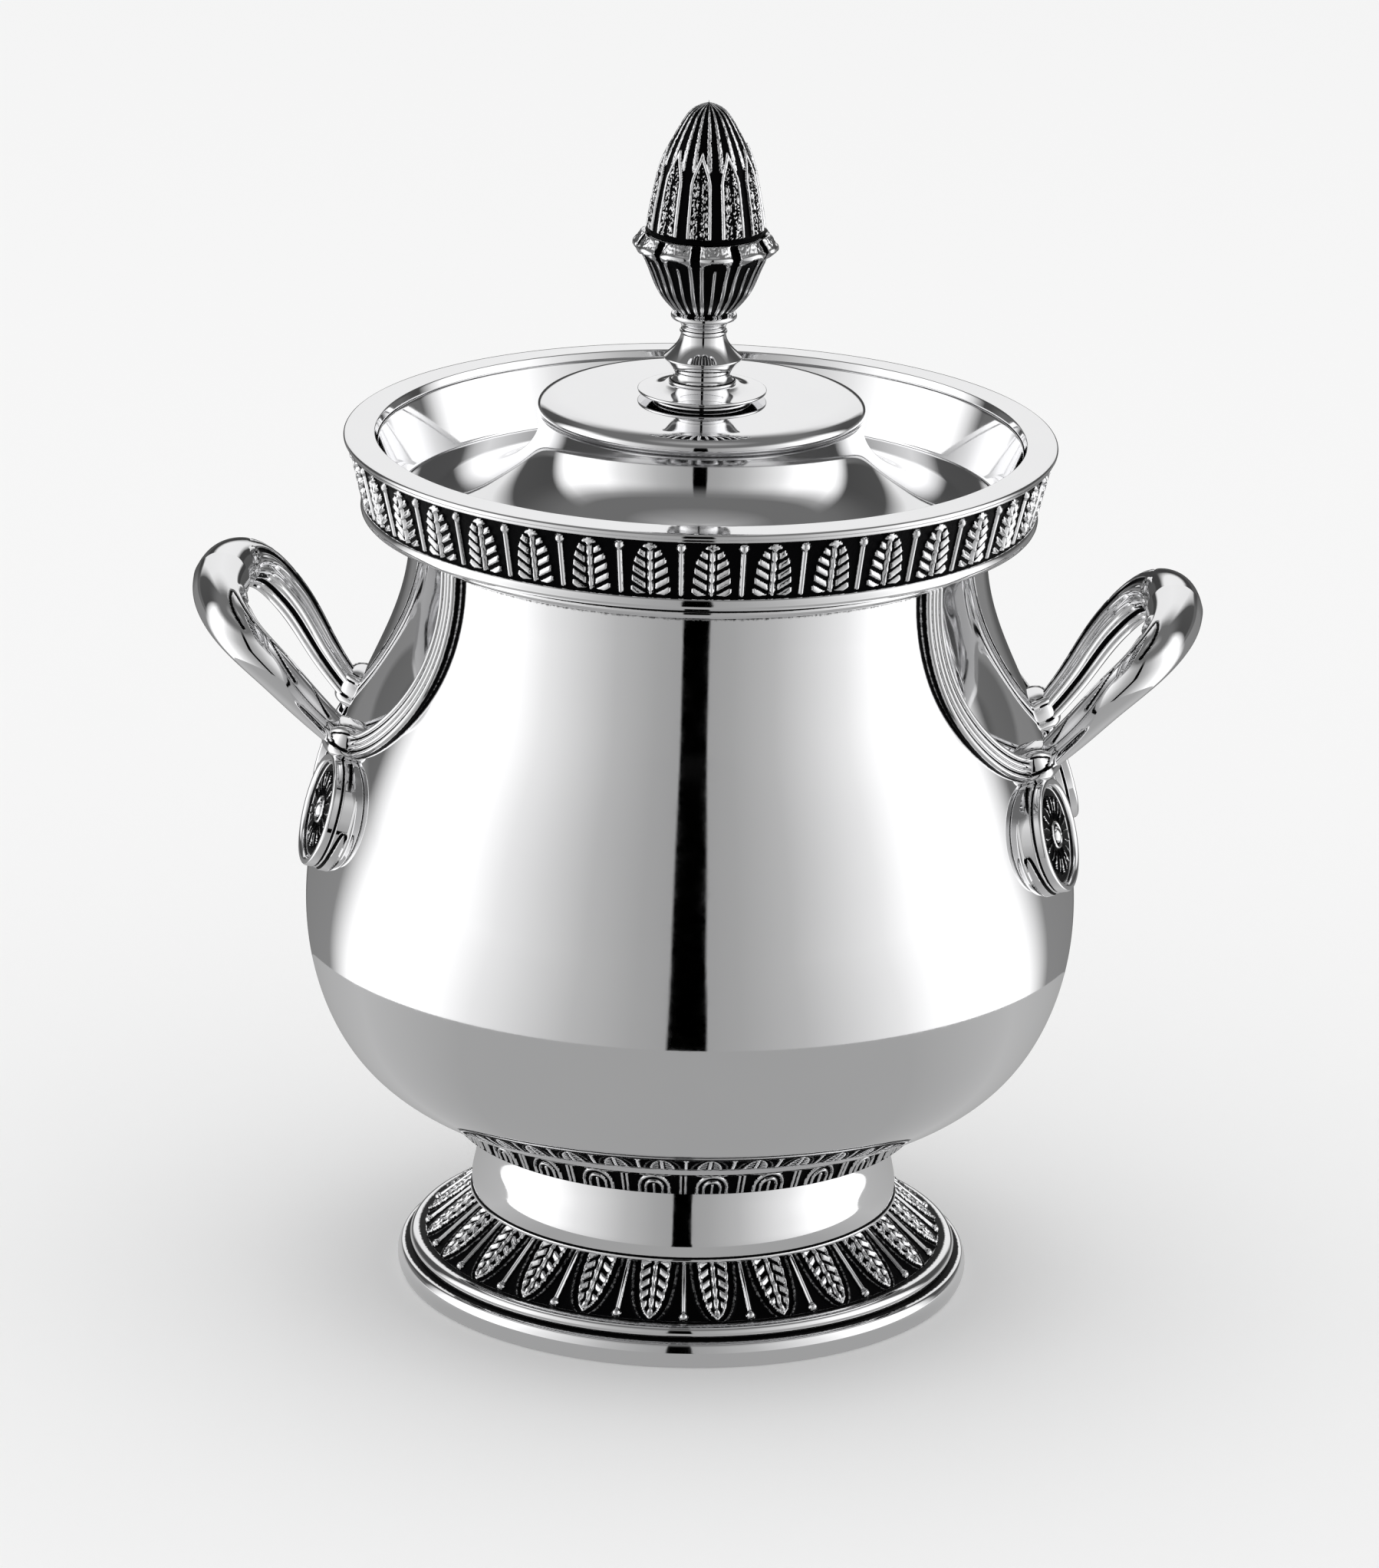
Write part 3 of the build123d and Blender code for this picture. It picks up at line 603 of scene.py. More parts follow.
def make_rim():
    """The moulding, the flat top ring, the sunk gallery and the band of palmettes."""
    outer = GALLERY_TOP_RADIUS + GALLERY_WALL
    slope = (outer - GALLERY_BASE_RADIUS) / (FRIEZE_TOP_HEIGHT - MOUTH_HEIGHT)
    back_radius = GALLERY_BASE_RADIUS + (FRIEZE_BOTTOM_HEIGHT - MOUTH_HEIGHT) * slope
    inner, bottom, top = MOUTH_RADIUS - 0.5, 98.9, FRIEZE_BOTTOM_HEIGHT + 0.1
    moulding = joined(
        corners((inner, MOUTH_HEIGHT), (inner, bottom), (MOUTH_RADIUS, bottom)),
        arc((MOUTH_RADIUS, bottom), (37.7, 99.15), (37.9, 99.9)),
        arc((37.9, 99.9), (39.4, 100.9), (41.4, 101.3)),
        arc((41.4, 101.3), (42.7, 101.9), (42.5, top)),
        corners((42.5, top), (back_radius, top), (GALLERY_BASE_RADIUS, MOUTH_HEIGHT), (inner, MOUTH_HEIGHT)),
    )
    # A dark crevice line, part tarnish and part painted shade, in the groove between the moulding's beads.
    finished(
        turned("rim_moulding", moulding, crevice_shade_and_tarnish=[(99.95, 0.25, 37.0)]),
        "bowl", *POLISHED, "rim_lower_moulding",
    )
    top_ring = joined(
        line((GALLERY_TOP_RADIUS, FRIEZE_TOP_HEIGHT), (44.35, FRIEZE_TOP_HEIGHT)),
        arc((44.35, FRIEZE_TOP_HEIGHT), (44.75, 110.86), (44.45, 111.03), 6),
        arc((44.45, 111.03), (45.0, 111.4), (44.7, 111.7)),
        line((44.7, 111.7), (41.1, RIM_HEIGHT), 0.4),
        line((41.1, RIM_HEIGHT), (GALLERY_TOP_RADIUS, FRIEZE_TOP_HEIGHT), 0.3),
    )
    finished(turned("rim_top", top_ring), "bowl", *POLISHED, "rim_top_ring")
    mouth = MOUTH_RADIUS - WALL
    base, floor = (GALLERY_BASE_RADIUS, MOUTH_HEIGHT), (GALLERY_FLOOR_RADIUS, FLANGE_TOP_HEIGHT)
    top_inner, top_outer = (GALLERY_TOP_RADIUS, FRIEZE_TOP_HEIGHT), (outer, FRIEZE_TOP_HEIGHT)
    gallery = joined(
        line((mouth, MOUTH_HEIGHT), base),
        line(base, top_outer, 0.5),
        line(top_outer, top_inner),
        line(top_inner, floor, 0.4),
        corners(floor, (floor[0], LEDGE_HEIGHT), (mouth, LEDGE_HEIGHT), (mouth, MOUTH_HEIGHT)),
    )
    finished(turned("gallery", gallery), "bowl", *POLISHED, "mouth_gallery")
    low, high = (42.4, FRIEZE_BOTTOM_HEIGHT), (44.3, FRIEZE_TOP_HEIGHT)
    face = np.linspace(low, high, 54)
    behind = np.subtract([high, low], (FRIEZE_BAND, 0))
    frieze = banded(
        "rim_frieze", face, behind, cells=RIM_PALMETTES, turn=FRONT + 2.3, columns=46,
        pattern=rim_leaves, sink=LEAF_SINK,
    )
    finished(frieze, "bowl", *OXIDISED, "rim_frieze_band")


def make_foot():
    """The ring that the bowl stands on, the skirt of leaves, the waist and the collar of arches."""
    ring = joined(
        line((FOOT_BORE, 0), (36.2, 0)),
        arc((36.2, 0), (36.8, 1.7), (36.3, 3.2)),
        line((36.3, 3.2), (35.1, 3.5), 0.4),
        arc((35.1, 3.5), (35.2, 4.4), (34.4, FOOT_RING_HEIGHT)),
        corners((34.4, FOOT_RING_HEIGHT), (33.6, 5.05), (FOOT_BORE, FOOT_RING_HEIGHT), (FOOT_BORE, 0)),
    )
    # Dark crevice lines, part tarnish and part painted shade: where the ring steps in and where the skirt
    # meets it.
    finished(
        turned("foot_ring", ring, crevice_shade_and_tarnish=[(3.5, 0.3, 34.0), (5.05, 0.06, 33.0)]),
        "bowl", *POLISHED, "foot_rim_ring",
    )
    face = np.linspace(SKIRT_BOTTOM, SKIRT_TOP, 58)
    behind = [(SKIRT_TOP[0], NECK_BOTTOM_HEIGHT), (SKIRT_BOTTOM[0] - 2.0, FOOT_RING_HEIGHT)]
    skirt = banded(
        "foot_skirt", face, behind, cells=FOOT_LEAVES, turn=FRONT + 8.3, columns=56,
        pattern=foot_leaves, sink=LEAF_SINK,
    )
    finished(skirt, "bowl", *OXIDISED, "foot_frieze_skirt")
    outer = [(27.3, 11.3), (27.35, 12.3), (27.1, 14.0), (26.7, 16.0), (26.25, 18.2), (25.9, 20.5)]
    inner = [(25.0, NECK_TOP_HEIGHT), (25.5, 16.5), (25.7, NECK_BOTTOM_HEIGHT)]
    neck = joined(
        corners(inner[-1], (SKIRT_TOP[0], NECK_BOTTOM_HEIGHT), SKIRT_TOP),
        arc(SKIRT_TOP, (27.5, 10.85), outer[0]),
        spline(outer, 44),
        corners(outer[-1], (outer[-1][0], NECK_TOP_HEIGHT), inner[0]),
        spline(inner, 24),
    )
    # A dark crevice line, part tarnish and part painted shade, where the waist meets the skirt.
    finished(
        turned("foot_waist", neck, crevice_shade_and_tarnish=[(11.3, 0.2, 26.5)]),
        "bowl", *POLISHED, "foot_neck",
    )
    face = np.linspace((30.0, NECK_TOP_HEIGHT), (31.55, 24.3), 40)
    behind = [(25.4, 23.8), (25.4, NECK_TOP_HEIGHT)]
    collar = banded(
        "leaf_collar", face, behind, cells=COLLAR_ARCHES, turn=FRONT + 180 / COLLAR_ARCHES, columns=48,
        pattern=collar_leaves, sink=0.3,
    )
    finished(collar, "bowl", *OXIDISED, "belly_collar_frieze")


# ---- lid and finial ----
CALYX_FACE = joined(
    spline([(3.7, CALYX_BOTTOM), (6.0, 130.4), (7.65, 134.2), (8.9, 136.4)], 66),
    line((8.9, 136.4), (8.85, 136.6), 0.1),
    line((8.85, 136.6), (7.8, 138.1), 0.14),
)
CALYX_ARCH = 10.2               # where the leaves' round tops end, measured up the calyx
BUD_SIDE = [
    (7.65, BUD_BOTTOM), (7.3, 140.4), (6.6, 144.2), (5.6, 148.1), (3.65, 152.1), (2.2, 154.0),
    (0, TOTAL_HEIGHT),
]
BUD_FACE = spline(BUD_SIDE, 150)
BUD_LOWER_TIP = 11.9            # where the lower leaves' tips end, measured up the bud
FINIAL_LEAVES = 10


def make_lid():
    """The spun lid: a flat drum, a flank that sweeps out under it, and the flange that it sits on."""
    turn = np.linspace(0, pi / 2, 16)
    shoulder = np.stack([
        DRUM_FLAT_RADIUS + DRUM_SHOULDER * np.sin(turn),
        DRUM_WIDEST_HEIGHT + (DRUM_HEIGHT - DRUM_WIDEST_HEIGHT) * np.cos(turn),
    ], 1)
    widest = shoulder[-1]
    under = DRUM_HEIGHT - LID_WALL
    flank = [
        (20.25, 114.4), (20.6, 111.8), (22.4, 108.7), (26.0, 105.9), (30.0, 104.1),
        (FLANGE_INNER_RADIUS, FLANGE_TOP_HEIGHT),
    ]
    flank_under = [
        (FLANGE_INNER_RADIUS, FLANGE_BOTTOM_HEIGHT), (29.6, 103.1), (25.4, 105.0), (21.4, 108.0),
        (19.3, 111.8), (19.7, 115.0),
    ]
    cover = joined(
        line((STUD_BORE, under), (STUD_BORE, DRUM_HEIGHT)),
        line((STUD_BORE, DRUM_HEIGHT), shoulder[0], 1.0),
        shoulder,
        arc(widest, (20.6, 114.8), flank[0], 6),
        spline(flank, 60),
        line(flank[-1], (FLANGE_RADIUS, FLANGE_TOP_HEIGHT), 0.5),
        line((FLANGE_RADIUS, FLANGE_TOP_HEIGHT), (FLANGE_RADIUS, FLANGE_BOTTOM_HEIGHT)),
        line((FLANGE_RADIUS, FLANGE_BOTTOM_HEIGHT), flank_under[0], 1.0),
        spline(flank_under, 40),
        arc(flank_under[-1], (19.0, 115.6), (17.4, under), 7),
        line((17.4, under), (STUD_BORE, under), 2.0),
    )
    lid = turned("lid_dish", cover, segments=320)
    finished(lid, "lid", *POLISHED, "lid_cover")


def make_finial():
    """The disc, the baluster stem, the cup of leaves and the bud, all round one stud."""
    base = joined(
        corners((STUD_BORE, STEM_BOTTOM), (STUD_BORE, DRUM_HEIGHT), (6.3, DRUM_HEIGHT)),
        line((6.3, DRUM_HEIGHT), (6.3, 117.2), 0.2),
        line((6.3, 117.2), (7.9, 117.5), 0.4),
        arc((7.9, 117.5), (8.15, 117.7), (7.9, 117.9), 6),
        spline([(7.9, 117.9), (6.6, 118.0), (5.4, 118.3), (4.6, STEM_BOTTOM)], 12),
        line((4.6, STEM_BOTTOM), (STUD_BORE, STEM_BOTTOM)),
    )
    # A dark crevice line, part tarnish and part painted shade, where the disc meets the lid.
    finished(
        turned("finial_foot", base, crevice_shade_and_tarnish=[(DRUM_HEIGHT, 0.12, 5.0)], segments=160),
        "lid", *POLISHED, "finial_base",
    )
    stem = joined(
        corners((STUD_BORE, CALYX_BOTTOM), (STUD_BORE, STEM_BOTTOM), (4.0, STEM_BOTTOM)),
        arc((4.0, STEM_BOTTOM), (4.25, 118.9), (4.1, 119.1), 6),
        spline([(4.1, 119.1), (3.55, 119.8), (4.15, 120.9), (4.95, 121.9)], 20),
        spline([(4.95, 122.05), (3.65, 123.3), (2.9, 124.6), (2.8, 125.1)], 24),
        arc((2.8, 125.1), (3.0, 125.35), (2.8, 125.6), 6),
        spline([(2.8, 125.6), (2.8, 126.0), (3.2, 126.6), (3.9, 126.95)], 12),
        arc((3.9, 126.95), (4.15, 127.3), (4.0, CALYX_BOTTOM), 8),
        line((4.0, CALYX_BOTTOM), (STUD_BORE, CALYX_BOTTOM)),
    )
    # Dark crevice lines, part tarnish and part painted shade, in the baluster's grooves.
    grooves = [(119.15, 0.12, 3.5), (125.1, 0.1, 2.6), (125.65, 0.1, 2.6)]
    finished(
        turned("finial_baluster", stem, crevice_shade_and_tarnish=grooves, segments=160),
        "lid", *POLISHED, "finial_stem",
    )
    cup_inside = [(7.5, BUD_BOTTOM), (STUD_BORE, BUD_BOTTOM), (STUD_BORE, CALYX_BOTTOM)]
    calyx = banded(
        "finial_cup", CALYX_FACE, cup_inside, cells=FINIAL_LEAVES, turn=FRONT + 9.5, columns=60,
        pattern=calyx_leaves, sink=0.4,
    )
    finished(calyx, "lid", *OXIDISED, "finial_calyx")
    seat = line((0, BUD_BOTTOM), BUD_FACE[0], 1.0)

    def above_seat(x, y, cell):
        """The bud's leaves, with none on the flat seat below them."""
        height, tarnish = bud_leaves(x, np.maximum(y - BUD_FACE[0][0], 0), cell)
        return height * (y > BUD_FACE[0][0]), tarnish

    bud = banded(
        "finial_leaf_bud", joined(seat, BUD_FACE), [], cells=FINIAL_LEAVES, turn=FRONT - 7.1, columns=54,
        pattern=above_seat, sink=0.45,
    )
    finished(bud, "lid", *OXIDISED, "finial_bud")


# ---- handles ----
MEDALLION_FACE_RADIUS = 49.2    # from the bowl's axis to the middle of the face
MEDALLION_AZIMUTH = radians(17.5)
MEDALLION_HEIGHT = 65.4
MEDALLION_TURN = radians(14)
MEDALLION_TILT = radians(16)
MEDALLION_FLANGE = 7.8          # radius of the flange against the body
MEDALLION_DRUM = 7.3
MEDALLION_BACK = 8.0            # how far the mount reaches in behind its face
FLANGE_BACK, FLANGE_SETBACK = 4.4, 4.3  # its edge is rounded between these distances behind the face
RECESS_RADIUS = 6.2
RECESS = 0.9
ROSETTE_RADIUS = 6.0
ROSETTE_PETALS = 10
STRAP_ROUTE = [                 # azimuth and height, from the rim's moulding down to the tie
    (36.2, 99.1), (36.2, 91.5), (34.5, 84.0), (29.6, 78.4), (23.8, 75.2), (17.2, 73.3),
]
STRAP_HALF = 1.6
STRAP_PROUD = 1.3
KNOT_AZIMUTH = 14.5
KNOT_HEIGHT = 73.4
KNOT_HALF_SIZES = (3.75, 2.7, 2.9)      # across, upwards and outwards
BAIL_HALF_ROUTE = [
    (43.6, -9.6, 72.6), (48.2, -12.2, 78.0), (52.6, -15.3, 83.8), (56.6, -15.2, 87.9),
    (59.6, -9.2, 90.2),
]
BAIL_APEX = (60.4, 0, 90.6)
BAIL_MIDDLE = np.array([50.5, 0, 80.5])
BAIL_ROOT, BAIL_BEND = 1.7, 3.6         # radius of the bar at the tie and in the middle of the bend
BAIL_ARM = 36.0                 # length of one arm, from the tie to the middle of the bend
BAIL_SCROLLS = 0.76 * BAIL_ARM  # where the reeds end in two small scrolls
BAIL_TONGUES = (                # start and end along the arm, and angle round the bar
    (5.0, 9.5, 110),
    (12.5, 17.5, 118),
    (20.0, 25.5, 128),
)


def face_matrix(depth):
    """The frame of the right front medallion's face, moved back along its normal by depth."""
    normal = Vector((
        cos(MEDALLION_TURN) * cos(MEDALLION_TILT),
        -sin(MEDALLION_TURN) * cos(MEDALLION_TILT),
        sin(MEDALLION_TILT),
    ))
    centre = Vector((
        MEDALLION_FACE_RADIUS * cos(MEDALLION_AZIMUTH),
        -MEDALLION_FACE_RADIUS * sin(MEDALLION_AZIMUTH),
        MEDALLION_HEIGHT,
    ))
    across = Vector((sin(MEDALLION_TURN), cos(MEDALLION_TURN), 0))
    upward = normal.cross(across)
    place = centre - normal * depth
    return Matrix((
        (upward.x, -across.x, normal.x, place.x),
        (upward.y, -across.y, normal.y, place.y),
        (upward.z, -across.z, normal.z, place.z),
        (0, 0, 0, 1),
    ))


def make_medallion():
    """The drum-shaped mount, with its recess, bright rim, tongues and back flange."""
    back = line((0, -MEDALLION_BACK), (MEDALLION_FLANGE, -MEDALLION_BACK), 2.0)
    behind = line((MEDALLION_FLANGE, -MEDALLION_BACK), (MEDALLION_FLANGE, -FLANGE_BACK), 0.6)
    side = joined(
        line((MEDALLION_FLANGE, -FLANGE_SETBACK), (MEDALLION_FLANGE, -3.1), 0.2),
        line((MEDALLION_DRUM, -3.0), (MEDALLION_DRUM, -0.35), 0.08),
        arc((MEDALLION_DRUM, -0.35), (7.15, -0.1), (6.85, 0.0), 6),
    )
    rest = softened(joined(
        side[-1:],
        arc((6.85, 0.0), (6.45, -0.12), (RECESS_RADIUS, -0.45), 5),
        line((RECESS_RADIUS, -0.45), (RECESS_RADIUS, -RECESS)),
        line((RECESS_RADIUS, -RECESS), (0, -RECESS), 1.5),
    ), 0.12)
    face = np.concatenate([back[:-1], behind, side, rest[1:]])
    run_behind = MEDALLION_FLANGE + MEDALLION_BACK - FLANGE_BACK

    def pattern(x, y, cell):
        """The edge's relief, with y counted back from the face."""
        return medallion_edge(x, run_behind + FLANGE_SETBACK - y, cell)

    return banded(
        "medallion", face, [], cells=1, turn=180.0, columns=320, pattern=pattern,
        matrix=face_matrix(0), on_bowl=True,
    )


def make_rosette():
    """A flat disc with petals on its face, that lies in the medallion's recess."""
    back, edge, middle = -0.1, 0.02, 0.12
    under = line((0, back), (ROSETTE_RADIUS, back), 1.0)
    face = joined(under, np.linspace((ROSETTE_RADIUS, edge), (0, middle), 44))
    run_behind = ROSETTE_RADIUS + edge - back

    def pattern(x, y, cell):
        """The petals, with y counted from the rim of the face."""
        height, tarnish = rosette_petals(x, y - run_behind, cell)
        return height * (y > run_behind), tarnish

    return banded(
        "rosette", face, [], cells=ROSETTE_PETALS, turn=0.0, columns=26, pattern=pattern,
        matrix=face_matrix(RECESS),
    )


def make_strap():
    """A reeded strap that lies on the body from the tie up to the rim's moulding."""
    path = spline([on_body(azimuth, height, 0) for azimuth, height in STRAP_ROUTE], 70)
    path = np.array([on_body(degrees(atan2(-y, x)), z, 0) for x, y, z in path])
    along = unit(np.gradient(path, axis=0))
    out = unit(path * (1, 1, 0))
    across = unit(np.cross(along, out))
    up = unit(np.cross(across, along))
    top = np.linspace(STRAP_HALF, -STRAP_HALF, 45)
    u = np.abs(top) / STRAP_HALF
    edge = ridge(np.abs(top) - 1.18, 0.42)
    reed = ridge(np.abs(top) - 0.34, 0.38) * 0.85
    crown = STRAP_PROUD - 0.75 + 0.62 * np.maximum(edge, reed) + 0.15 * (1 - u**2)
    sunk = -0.4                     # the strap's flat back, inside the bowl's wall
    section = np.concatenate([np.stack([top, crown], 1), [(-STRAP_HALF, sunk), (STRAP_HALF, sunk)]])
    groove = np.concatenate([1 - smooth(np.maximum(edge, reed), 0.25, 0.7), [0, 0]])
    wide = np.broadcast_to(section, (len(path), *section.shape))
    return swept("strap", path, across, up, wide, np.broadcast_to(groove, wide.shape[:2]), on_bowl=True)


def squared(value, power):
    """A sine or cosine swollen by a power below 1, which makes a rounded box of a circle."""
    return np.sign(value) * np.abs(value) ** power


def make_knot():
    """The tie: a cushion of metal with a band across it and two crossed bands above that."""
    azimuth = radians(KNOT_AZIMUTH)
    across = np.array([sin(azimuth), cos(azimuth), 0])
    normal = unit(np.array([cos(azimuth), -sin(azimuth), 0.45]))
    upward = np.cross(normal, across)
    middle = on_body(KNOT_AZIMUTH, KNOT_HEIGHT, 0.2)
    turn = np.linspace(0, tau, 96, endpoint=False)
    fall = np.linspace(-pi / 2, pi / 2, 61)
    half_width, half_height, half_depth = KNOT_HALF_SIZES
    x = np.outer(squared(np.cos(turn), 0.7), squared(np.cos(fall), 0.6)) * half_width
    y = np.outer(squared(np.sin(turn), 0.7), squared(np.cos(fall), 0.6)) * half_height
    z = np.broadcast_to(squared(np.sin(fall), 0.75), x.shape) * half_depth
    tie = ridge(y + 1.5, 0.75)
    cross = np.minimum(np.abs(y - 0.3 - 0.5 * x), np.abs(y - 0.3 + 0.5 * x))
    raised = np.maximum(tie, 0.8 * ridge(cross, 0.55) * (y > -0.9))
    grow = (1 + 0.1 * (raised - 0.5))[..., None]
    local = np.stack([x, y, z], -1) * grow
    on_face = local[..., :1] * across + local[..., 1:2] * upward
    points = middle + on_face + local[..., 2:] * normal
    crease = np.maximum(ridge(np.abs(y + 1.5) - 0.82, 0.2), ridge(cross - 0.62, 0.17) * (y > -0.7))
    dark = crease * smooth(z, 0.2, 0.8)
    return grid_mesh("knot", pressed(points), dark, wrap_rows=False)


def bail_path(count):
    """The loop's middle line, from the front tie round the bend to the rear tie."""
    far = [(x, -y, z) for x, y, z in reversed(BAIL_HALF_ROUTE)]
    return spline([*BAIL_HALF_ROUTE, BAIL_APEX, *far], count)


def make_bail():
    """The cast loop: a club-like bend with reeds along the inner edge of each arm."""
    path = bail_path(240)
    along = unit(np.gradient(path, axis=0))
    inward = BAIL_MIDDLE - path
    inward = unit(inward - (inward * along).sum(1, keepdims=True) * along)
    up = np.cross(inward, along)
    up = np.where(up[:, 2:] > 0, up, -up)
    share = (1 - np.abs(np.linspace(-1, 1, len(path))))[:, None]
    thick = BAIL_ROOT + (BAIL_BEND - BAIL_ROOT) * share
    length = share * BAIL_ARM
    around = np.linspace(0, tau, 120, endpoint=False)
    theta = np.broadcast_to(around, (len(path), len(around)))

    def off(degrees_round):
        """Distance round the bar from a line along it at this angle, in millimetres."""
        return ((theta - radians(degrees_round) + pi) % tau - pi) * thick

    fade = 1 - smooth(share, 0.66, 0.74)
    reeds = np.maximum(ridge(off(24), 0.46), ridge(off(52), 0.46)) * fade
    under = ridge(off(-40), 0.5) * fade
    channel = np.maximum(ridge(off(78), 0.42), ridge(off(-8), 0.36)) * fade
    raised = np.maximum(reeds, under)
    dark = np.clip(channel * 1.6, 0, 1) * (1 - raised)
    for angle in (20, 66):
        scroll = np.hypot(length - BAIL_SCROLLS, off(angle))
        raised = np.maximum(raised, np.maximum(ridge(scroll - 0.95, 0.34), ridge(scroll, 0.36)))
        dark = np.maximum(dark * (scroll > 1.3), ridge(scroll - 0.5, 0.2))
    for start, end, angle in BAIL_TONGUES:
        t = (length - start) / (end - start)
        reach = 0.95 * (1 - np.clip(t, 0, 1) ** 3)
        engraved = ridge(np.abs(off(angle) + 0.8 * t) - reach, 0.24) * (t > 0) * (t < 1)
        dark = np.maximum(dark, engraved)
        raised = raised - 0.5 * engraved
    radius = thick + 0.34 * raised - 0.25 * channel
    section = np.stack([radius * np.cos(theta), radius * np.sin(theta)], -1)
    return swept("bail", path, inward, up, section, dark, on_bowl=True)


HANDLE_PIECES = {
    "medallion": (make_medallion, *POLISHED),
    "rosette": (make_rosette, *OXIDISED),
    "strap": (make_strap, *POLISHED),
    "knot": (make_knot, *POLISHED),
}


def mirrored(piece, name, scale):
    """A copy of a piece reflected in the planes whose scale is -1."""
    mesh = piece.data.copy()
    mesh.transform(Matrix.Diagonal((*scale, 1)))
    if scale[0] * scale[1] < 0:
        mesh.flip_normals()
    return added(name, mesh)


def make_handles():
    """Each piece is made once, for the right front, and reflected to the other places."""
    for part, (make, material, slot) in HANDLE_PIECES.items():
        first = make()
        for side, sx in (("right", 1), ("left", -1)):
            for end, sy in (("front", 1), ("rear", -1)):
                name = f"{side}_{part}_{end}"
                copy = mirrored(first, f"{name}_cast", (sx, sy, 1))
                finished(copy, "bowl", material, slot, name)
        bpy.data.objects.remove(first)
    first = make_bail()
    for side, sx in (("right", 1), ("left", -1)):
        copy = mirrored(first, f"{side}_loop", (sx, 1, 1))
        finished(copy, "bowl", *POLISHED, f"{side}_bail")
    bpy.data.objects.remove(first)


make_shell()
make_rim()
make_foot()
make_lid()
make_finial()
make_handles()

for name, material in (
    ("lid_locating_collar", satin),
    ("finial_stud", steel),
    ("finial_washer", steel),
    ("finial_nut", steel),
):
    kept = nodes[name]
    kept.data.materials.clear()
    kept.data.materials.append(material)


# ---- stage: floor, light tent and camera ----
def emitter(name, colour_attribute, strength):
    """A material that glows in the colour of a mesh attribute."""
    material, tree, out = empty_material(name)
    glow = node(tree, "ShaderNodeEmission", Strength=strength)
    level = node(tree, "ShaderNodeAttribute", attribute_name=colour_attribute)
    tree.links.new(level.outputs["Color"], glow.inputs["Color"])
    tree.links.new(glow.outputs["Emission"], out.inputs["Surface"])
    return material


# Brightness of what the silver mirrors, against the angle from the slit that the camera looks
# through: the table beyond the board, the foot of the wall, and the wall above that.
TENT_SLIT = 4.6
TENT_TONES = np.array([
    (0, 0.0, 0.0, 0.0),
    (TENT_SLIT, 0.0, 0.0, 0.0),
    (TENT_SLIT + 0.8, 0.36, 0.36, 0.36),
    (14, 0.39, 0.39, 0.39),
    (30, 0.5, 0.5, 0.5),
    (45, 0.7, 0.7, 0.7),
    (58, 0.88, 0.88, 0.88),
    (74, 1.25, 1.25, 1.25),
    (106, 1.3, 1.3, 1.3),
    (114, 0.75, 0.75, 0.75),
    (121, 0.25, 0.15, 0.07),
    (150, 0.22, 0.12, 0.08),
    (158, 0.1, 0.05, 0.85),
    (180, 0.08, 0.05, 0.9),
])
BOARD_TONES = ((0, 60, 100, 140, 180), (0.36, 0.38, 0.5, 0.4, 0.36))    # angles, brightness
BOARD_RADIUS = 130.0
TENT_RADIUS = 2500.0
TENT_DROP = 0.5                 # the tent's table lies this far below the floor
CEILING_TONE = 0.16
WALL_FOOT = (0.0, 1.5)          # elevations in degrees over which the table gives way to the foot
WALL_START = (6.5, 9.5)         # the foot to the wall
CEILING_START = (31, 54)        # and the wall to the ceiling


def tent_tone(angle, reach, height):
    """Brightness at an angle from the slit, a distance from the bowl's axis and a height."""
    if reach < BOARD_RADIUS:
        return np.interp(angle, *BOARD_TONES)
    table, foot, wall = (np.interp(angle, TENT_TONES[:, 0], TENT_TONES[:, i]) for i in (1, 2, 3))
    elevation = degrees(atan2(height, reach))
    tone = table + (foot - table) * smooth(elevation, *WALL_FOOT)
    tone = tone + (wall - tone) * smooth(elevation, *WALL_START)
    return tone + (CEILING_TONE - tone) * smooth(elevation, *CEILING_START)


def make_tent():
    """A cloth tent round the table. Only the silver's reflections see it."""
    fine = np.arange(0, TENT_SLIT, 0.4)
    angles = np.concatenate([fine, [TENT_SLIT, TENT_SLIT + 0.8], np.arange(6, 180.1, 1.0)])
    angles = np.concatenate([-angles[:0:-1], angles])
    elevations = (0, 1.5, 4, 6.5, 8, 9.5, 15, 25, 31, 36, 42, 48, 54)
    wall = [TENT_RADIUS * np.tan(radians(elevation)) for elevation in elevations]
    run = [(1, 0), (BOARD_RADIUS - 0.4, 0), (BOARD_RADIUS, 0), (600, 0), (1500, 0)]
    run += [(TENT_RADIUS, height) for height in wall]
    run += [(1600, 4100), (5, 4500)]
    points, tones = [], []
    for angle in angles:
        turn = radians(-90 + CAMERA_TURN + angle)
        for reach, height in run:
            points.append((cos(turn) * reach * MM, sin(turn) * reach * MM, (height - TENT_DROP) * MM))
            tones.append(float(tent_tone(abs(angle), reach, height)))
    rows = len(run)
    faces = [
        (i * rows + j, (i + 1) * rows + j, (i + 1) * rows + j + 1, i * rows + j + 1)
        for i in range(len(angles) - 1) for j in range(rows - 1)
    ]
    mesh = bpy.data.meshes.new("tent")
    mesh.from_pydata(points, [], faces)
    level = mesh.attributes.new("tone", "FLOAT_COLOR", "POINT")
    level.data.foreach_set("color", [v for t in tones for v in (t, t, t, 1)])
    tent = added("tent", mesh)
    mesh.materials.append(emitter("tent_cloth", "tone", 1.0))
    tent.visible_camera = False
    tent.visible_diffuse = False
    tent.visible_shadow = False


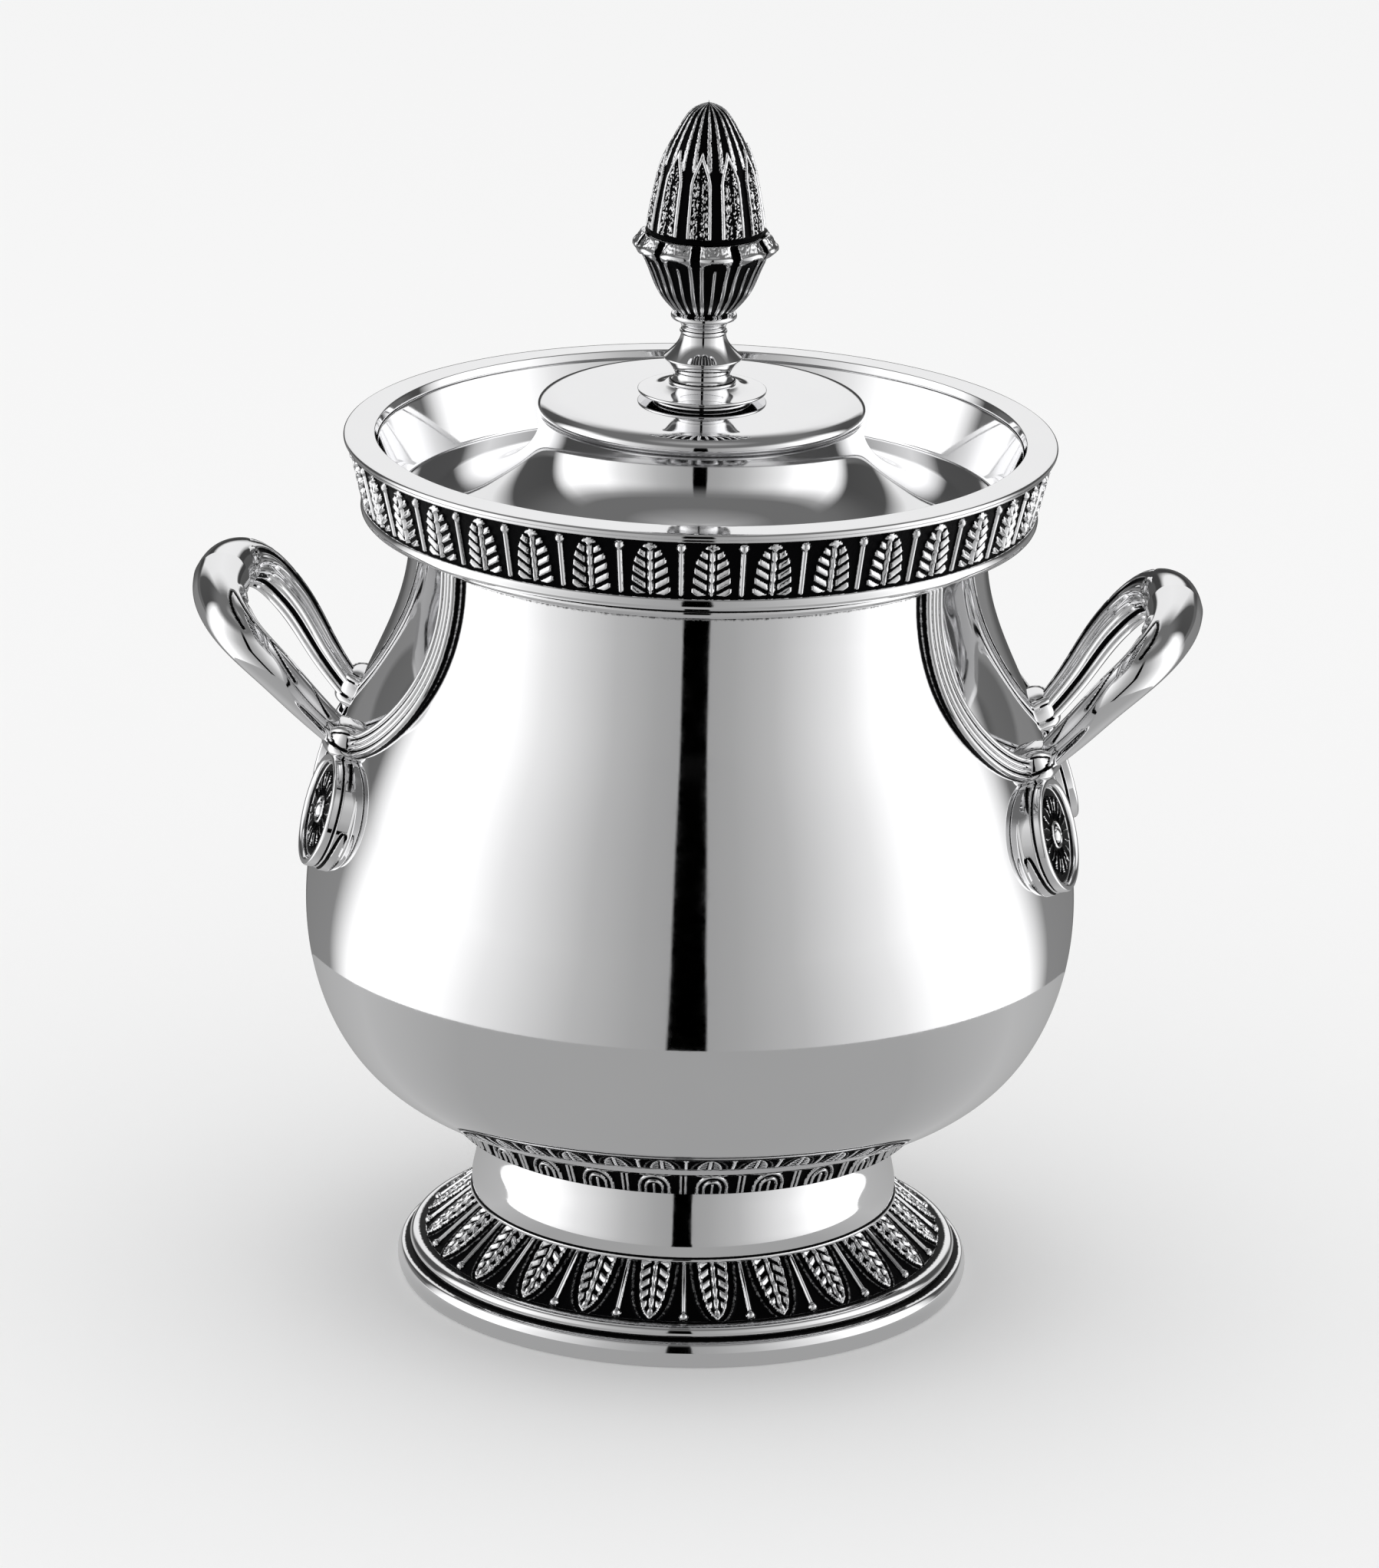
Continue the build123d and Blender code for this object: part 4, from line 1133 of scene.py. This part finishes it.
def plain_matt(name, colour, roughness):
    """A matt surface with no highlight of its own."""
    material = bpy.data.materials.new(name)
    material.use_nodes = True
    shader = material.node_tree.nodes["Principled BSDF"]
    shader.inputs["Base Color"].default_value = (*colour, 1)
    shader.inputs["Roughness"].default_value = roughness
    shader.inputs["Specular IOR Level"].default_value = 0.0
    return material


def disc(name, radius, height, material, corners=96):
    """A level disc of the stage, in metres."""
    turn = np.linspace(0, tau, corners, endpoint=False)
    mesh = bpy.data.meshes.new(name)
    rim = [(radius * cos(a), radius * sin(a), height) for a in turn]
    mesh.from_pydata(rim, [], [range(corners)])
    mesh.materials.append(material)
    made = added(name, mesh)
    return made


def make_floor():
    """A pale floor that the camera sees. The silver mirrors the tent's table instead."""
    floor = disc("floor", 6.0, 0.0, plain_matt("pale_floor", (0.92, 0.92, 0.92), 0.9))
    floor.visible_glossy = False


def make_lights():
    """An even white surround, and a weak disc lamp overhead for the shadow on the floor."""
    world = bpy.data.worlds.new("studio")
    bpy.context.scene.world = world
    world.use_nodes = True
    back = world.node_tree.nodes["Background"]
    back.inputs["Color"].default_value = (1, 1, 1, 1)
    back.inputs["Strength"].default_value = 0.93
    lamp = bpy.data.lights.new("overhead", "AREA")
    lamp.shape = "DISK"
    lamp.size = 0.9
    lamp.energy = 1.6
    overhead = added("overhead", lamp)
    overhead.location = (0, 0.1, 1.3)
    overhead.visible_glossy = False


def make_camera():
    """A long lens about a metre away, looking down at 18 degrees."""
    data = bpy.data.cameras.new("camera")
    data.sensor_width = 36.0
    data.lens = 194.9
    data.clip_start, data.clip_end = 0.05, 30
    camera = added("camera", data)
    distance, height = 1.030, 0.3994        # from the bowl's axis, and above the floor
    pitch, roll = radians(17.96), radians(1.37)
    aside = -0.0004                 # the lens axis passes this far to one side of the bowl's axis
    turn = radians(CAMERA_TURN)
    camera.location = (
        distance * sin(turn) + aside * cos(turn),
        -distance * cos(turn) + aside * sin(turn),
        height,
    )
    aimed = Matrix.Rotation(turn, 4, "Z") @ Matrix.Rotation(pi / 2 - pitch, 4, "X")
    camera.rotation_euler = (aimed @ Matrix.Rotation(roll, 4, "Z")).to_euler()
    bpy.context.scene.camera = camera


make_tent()
make_floor()
make_lights()
make_camera()
bpy.context.scene.view_settings.view_transform = "Standard"
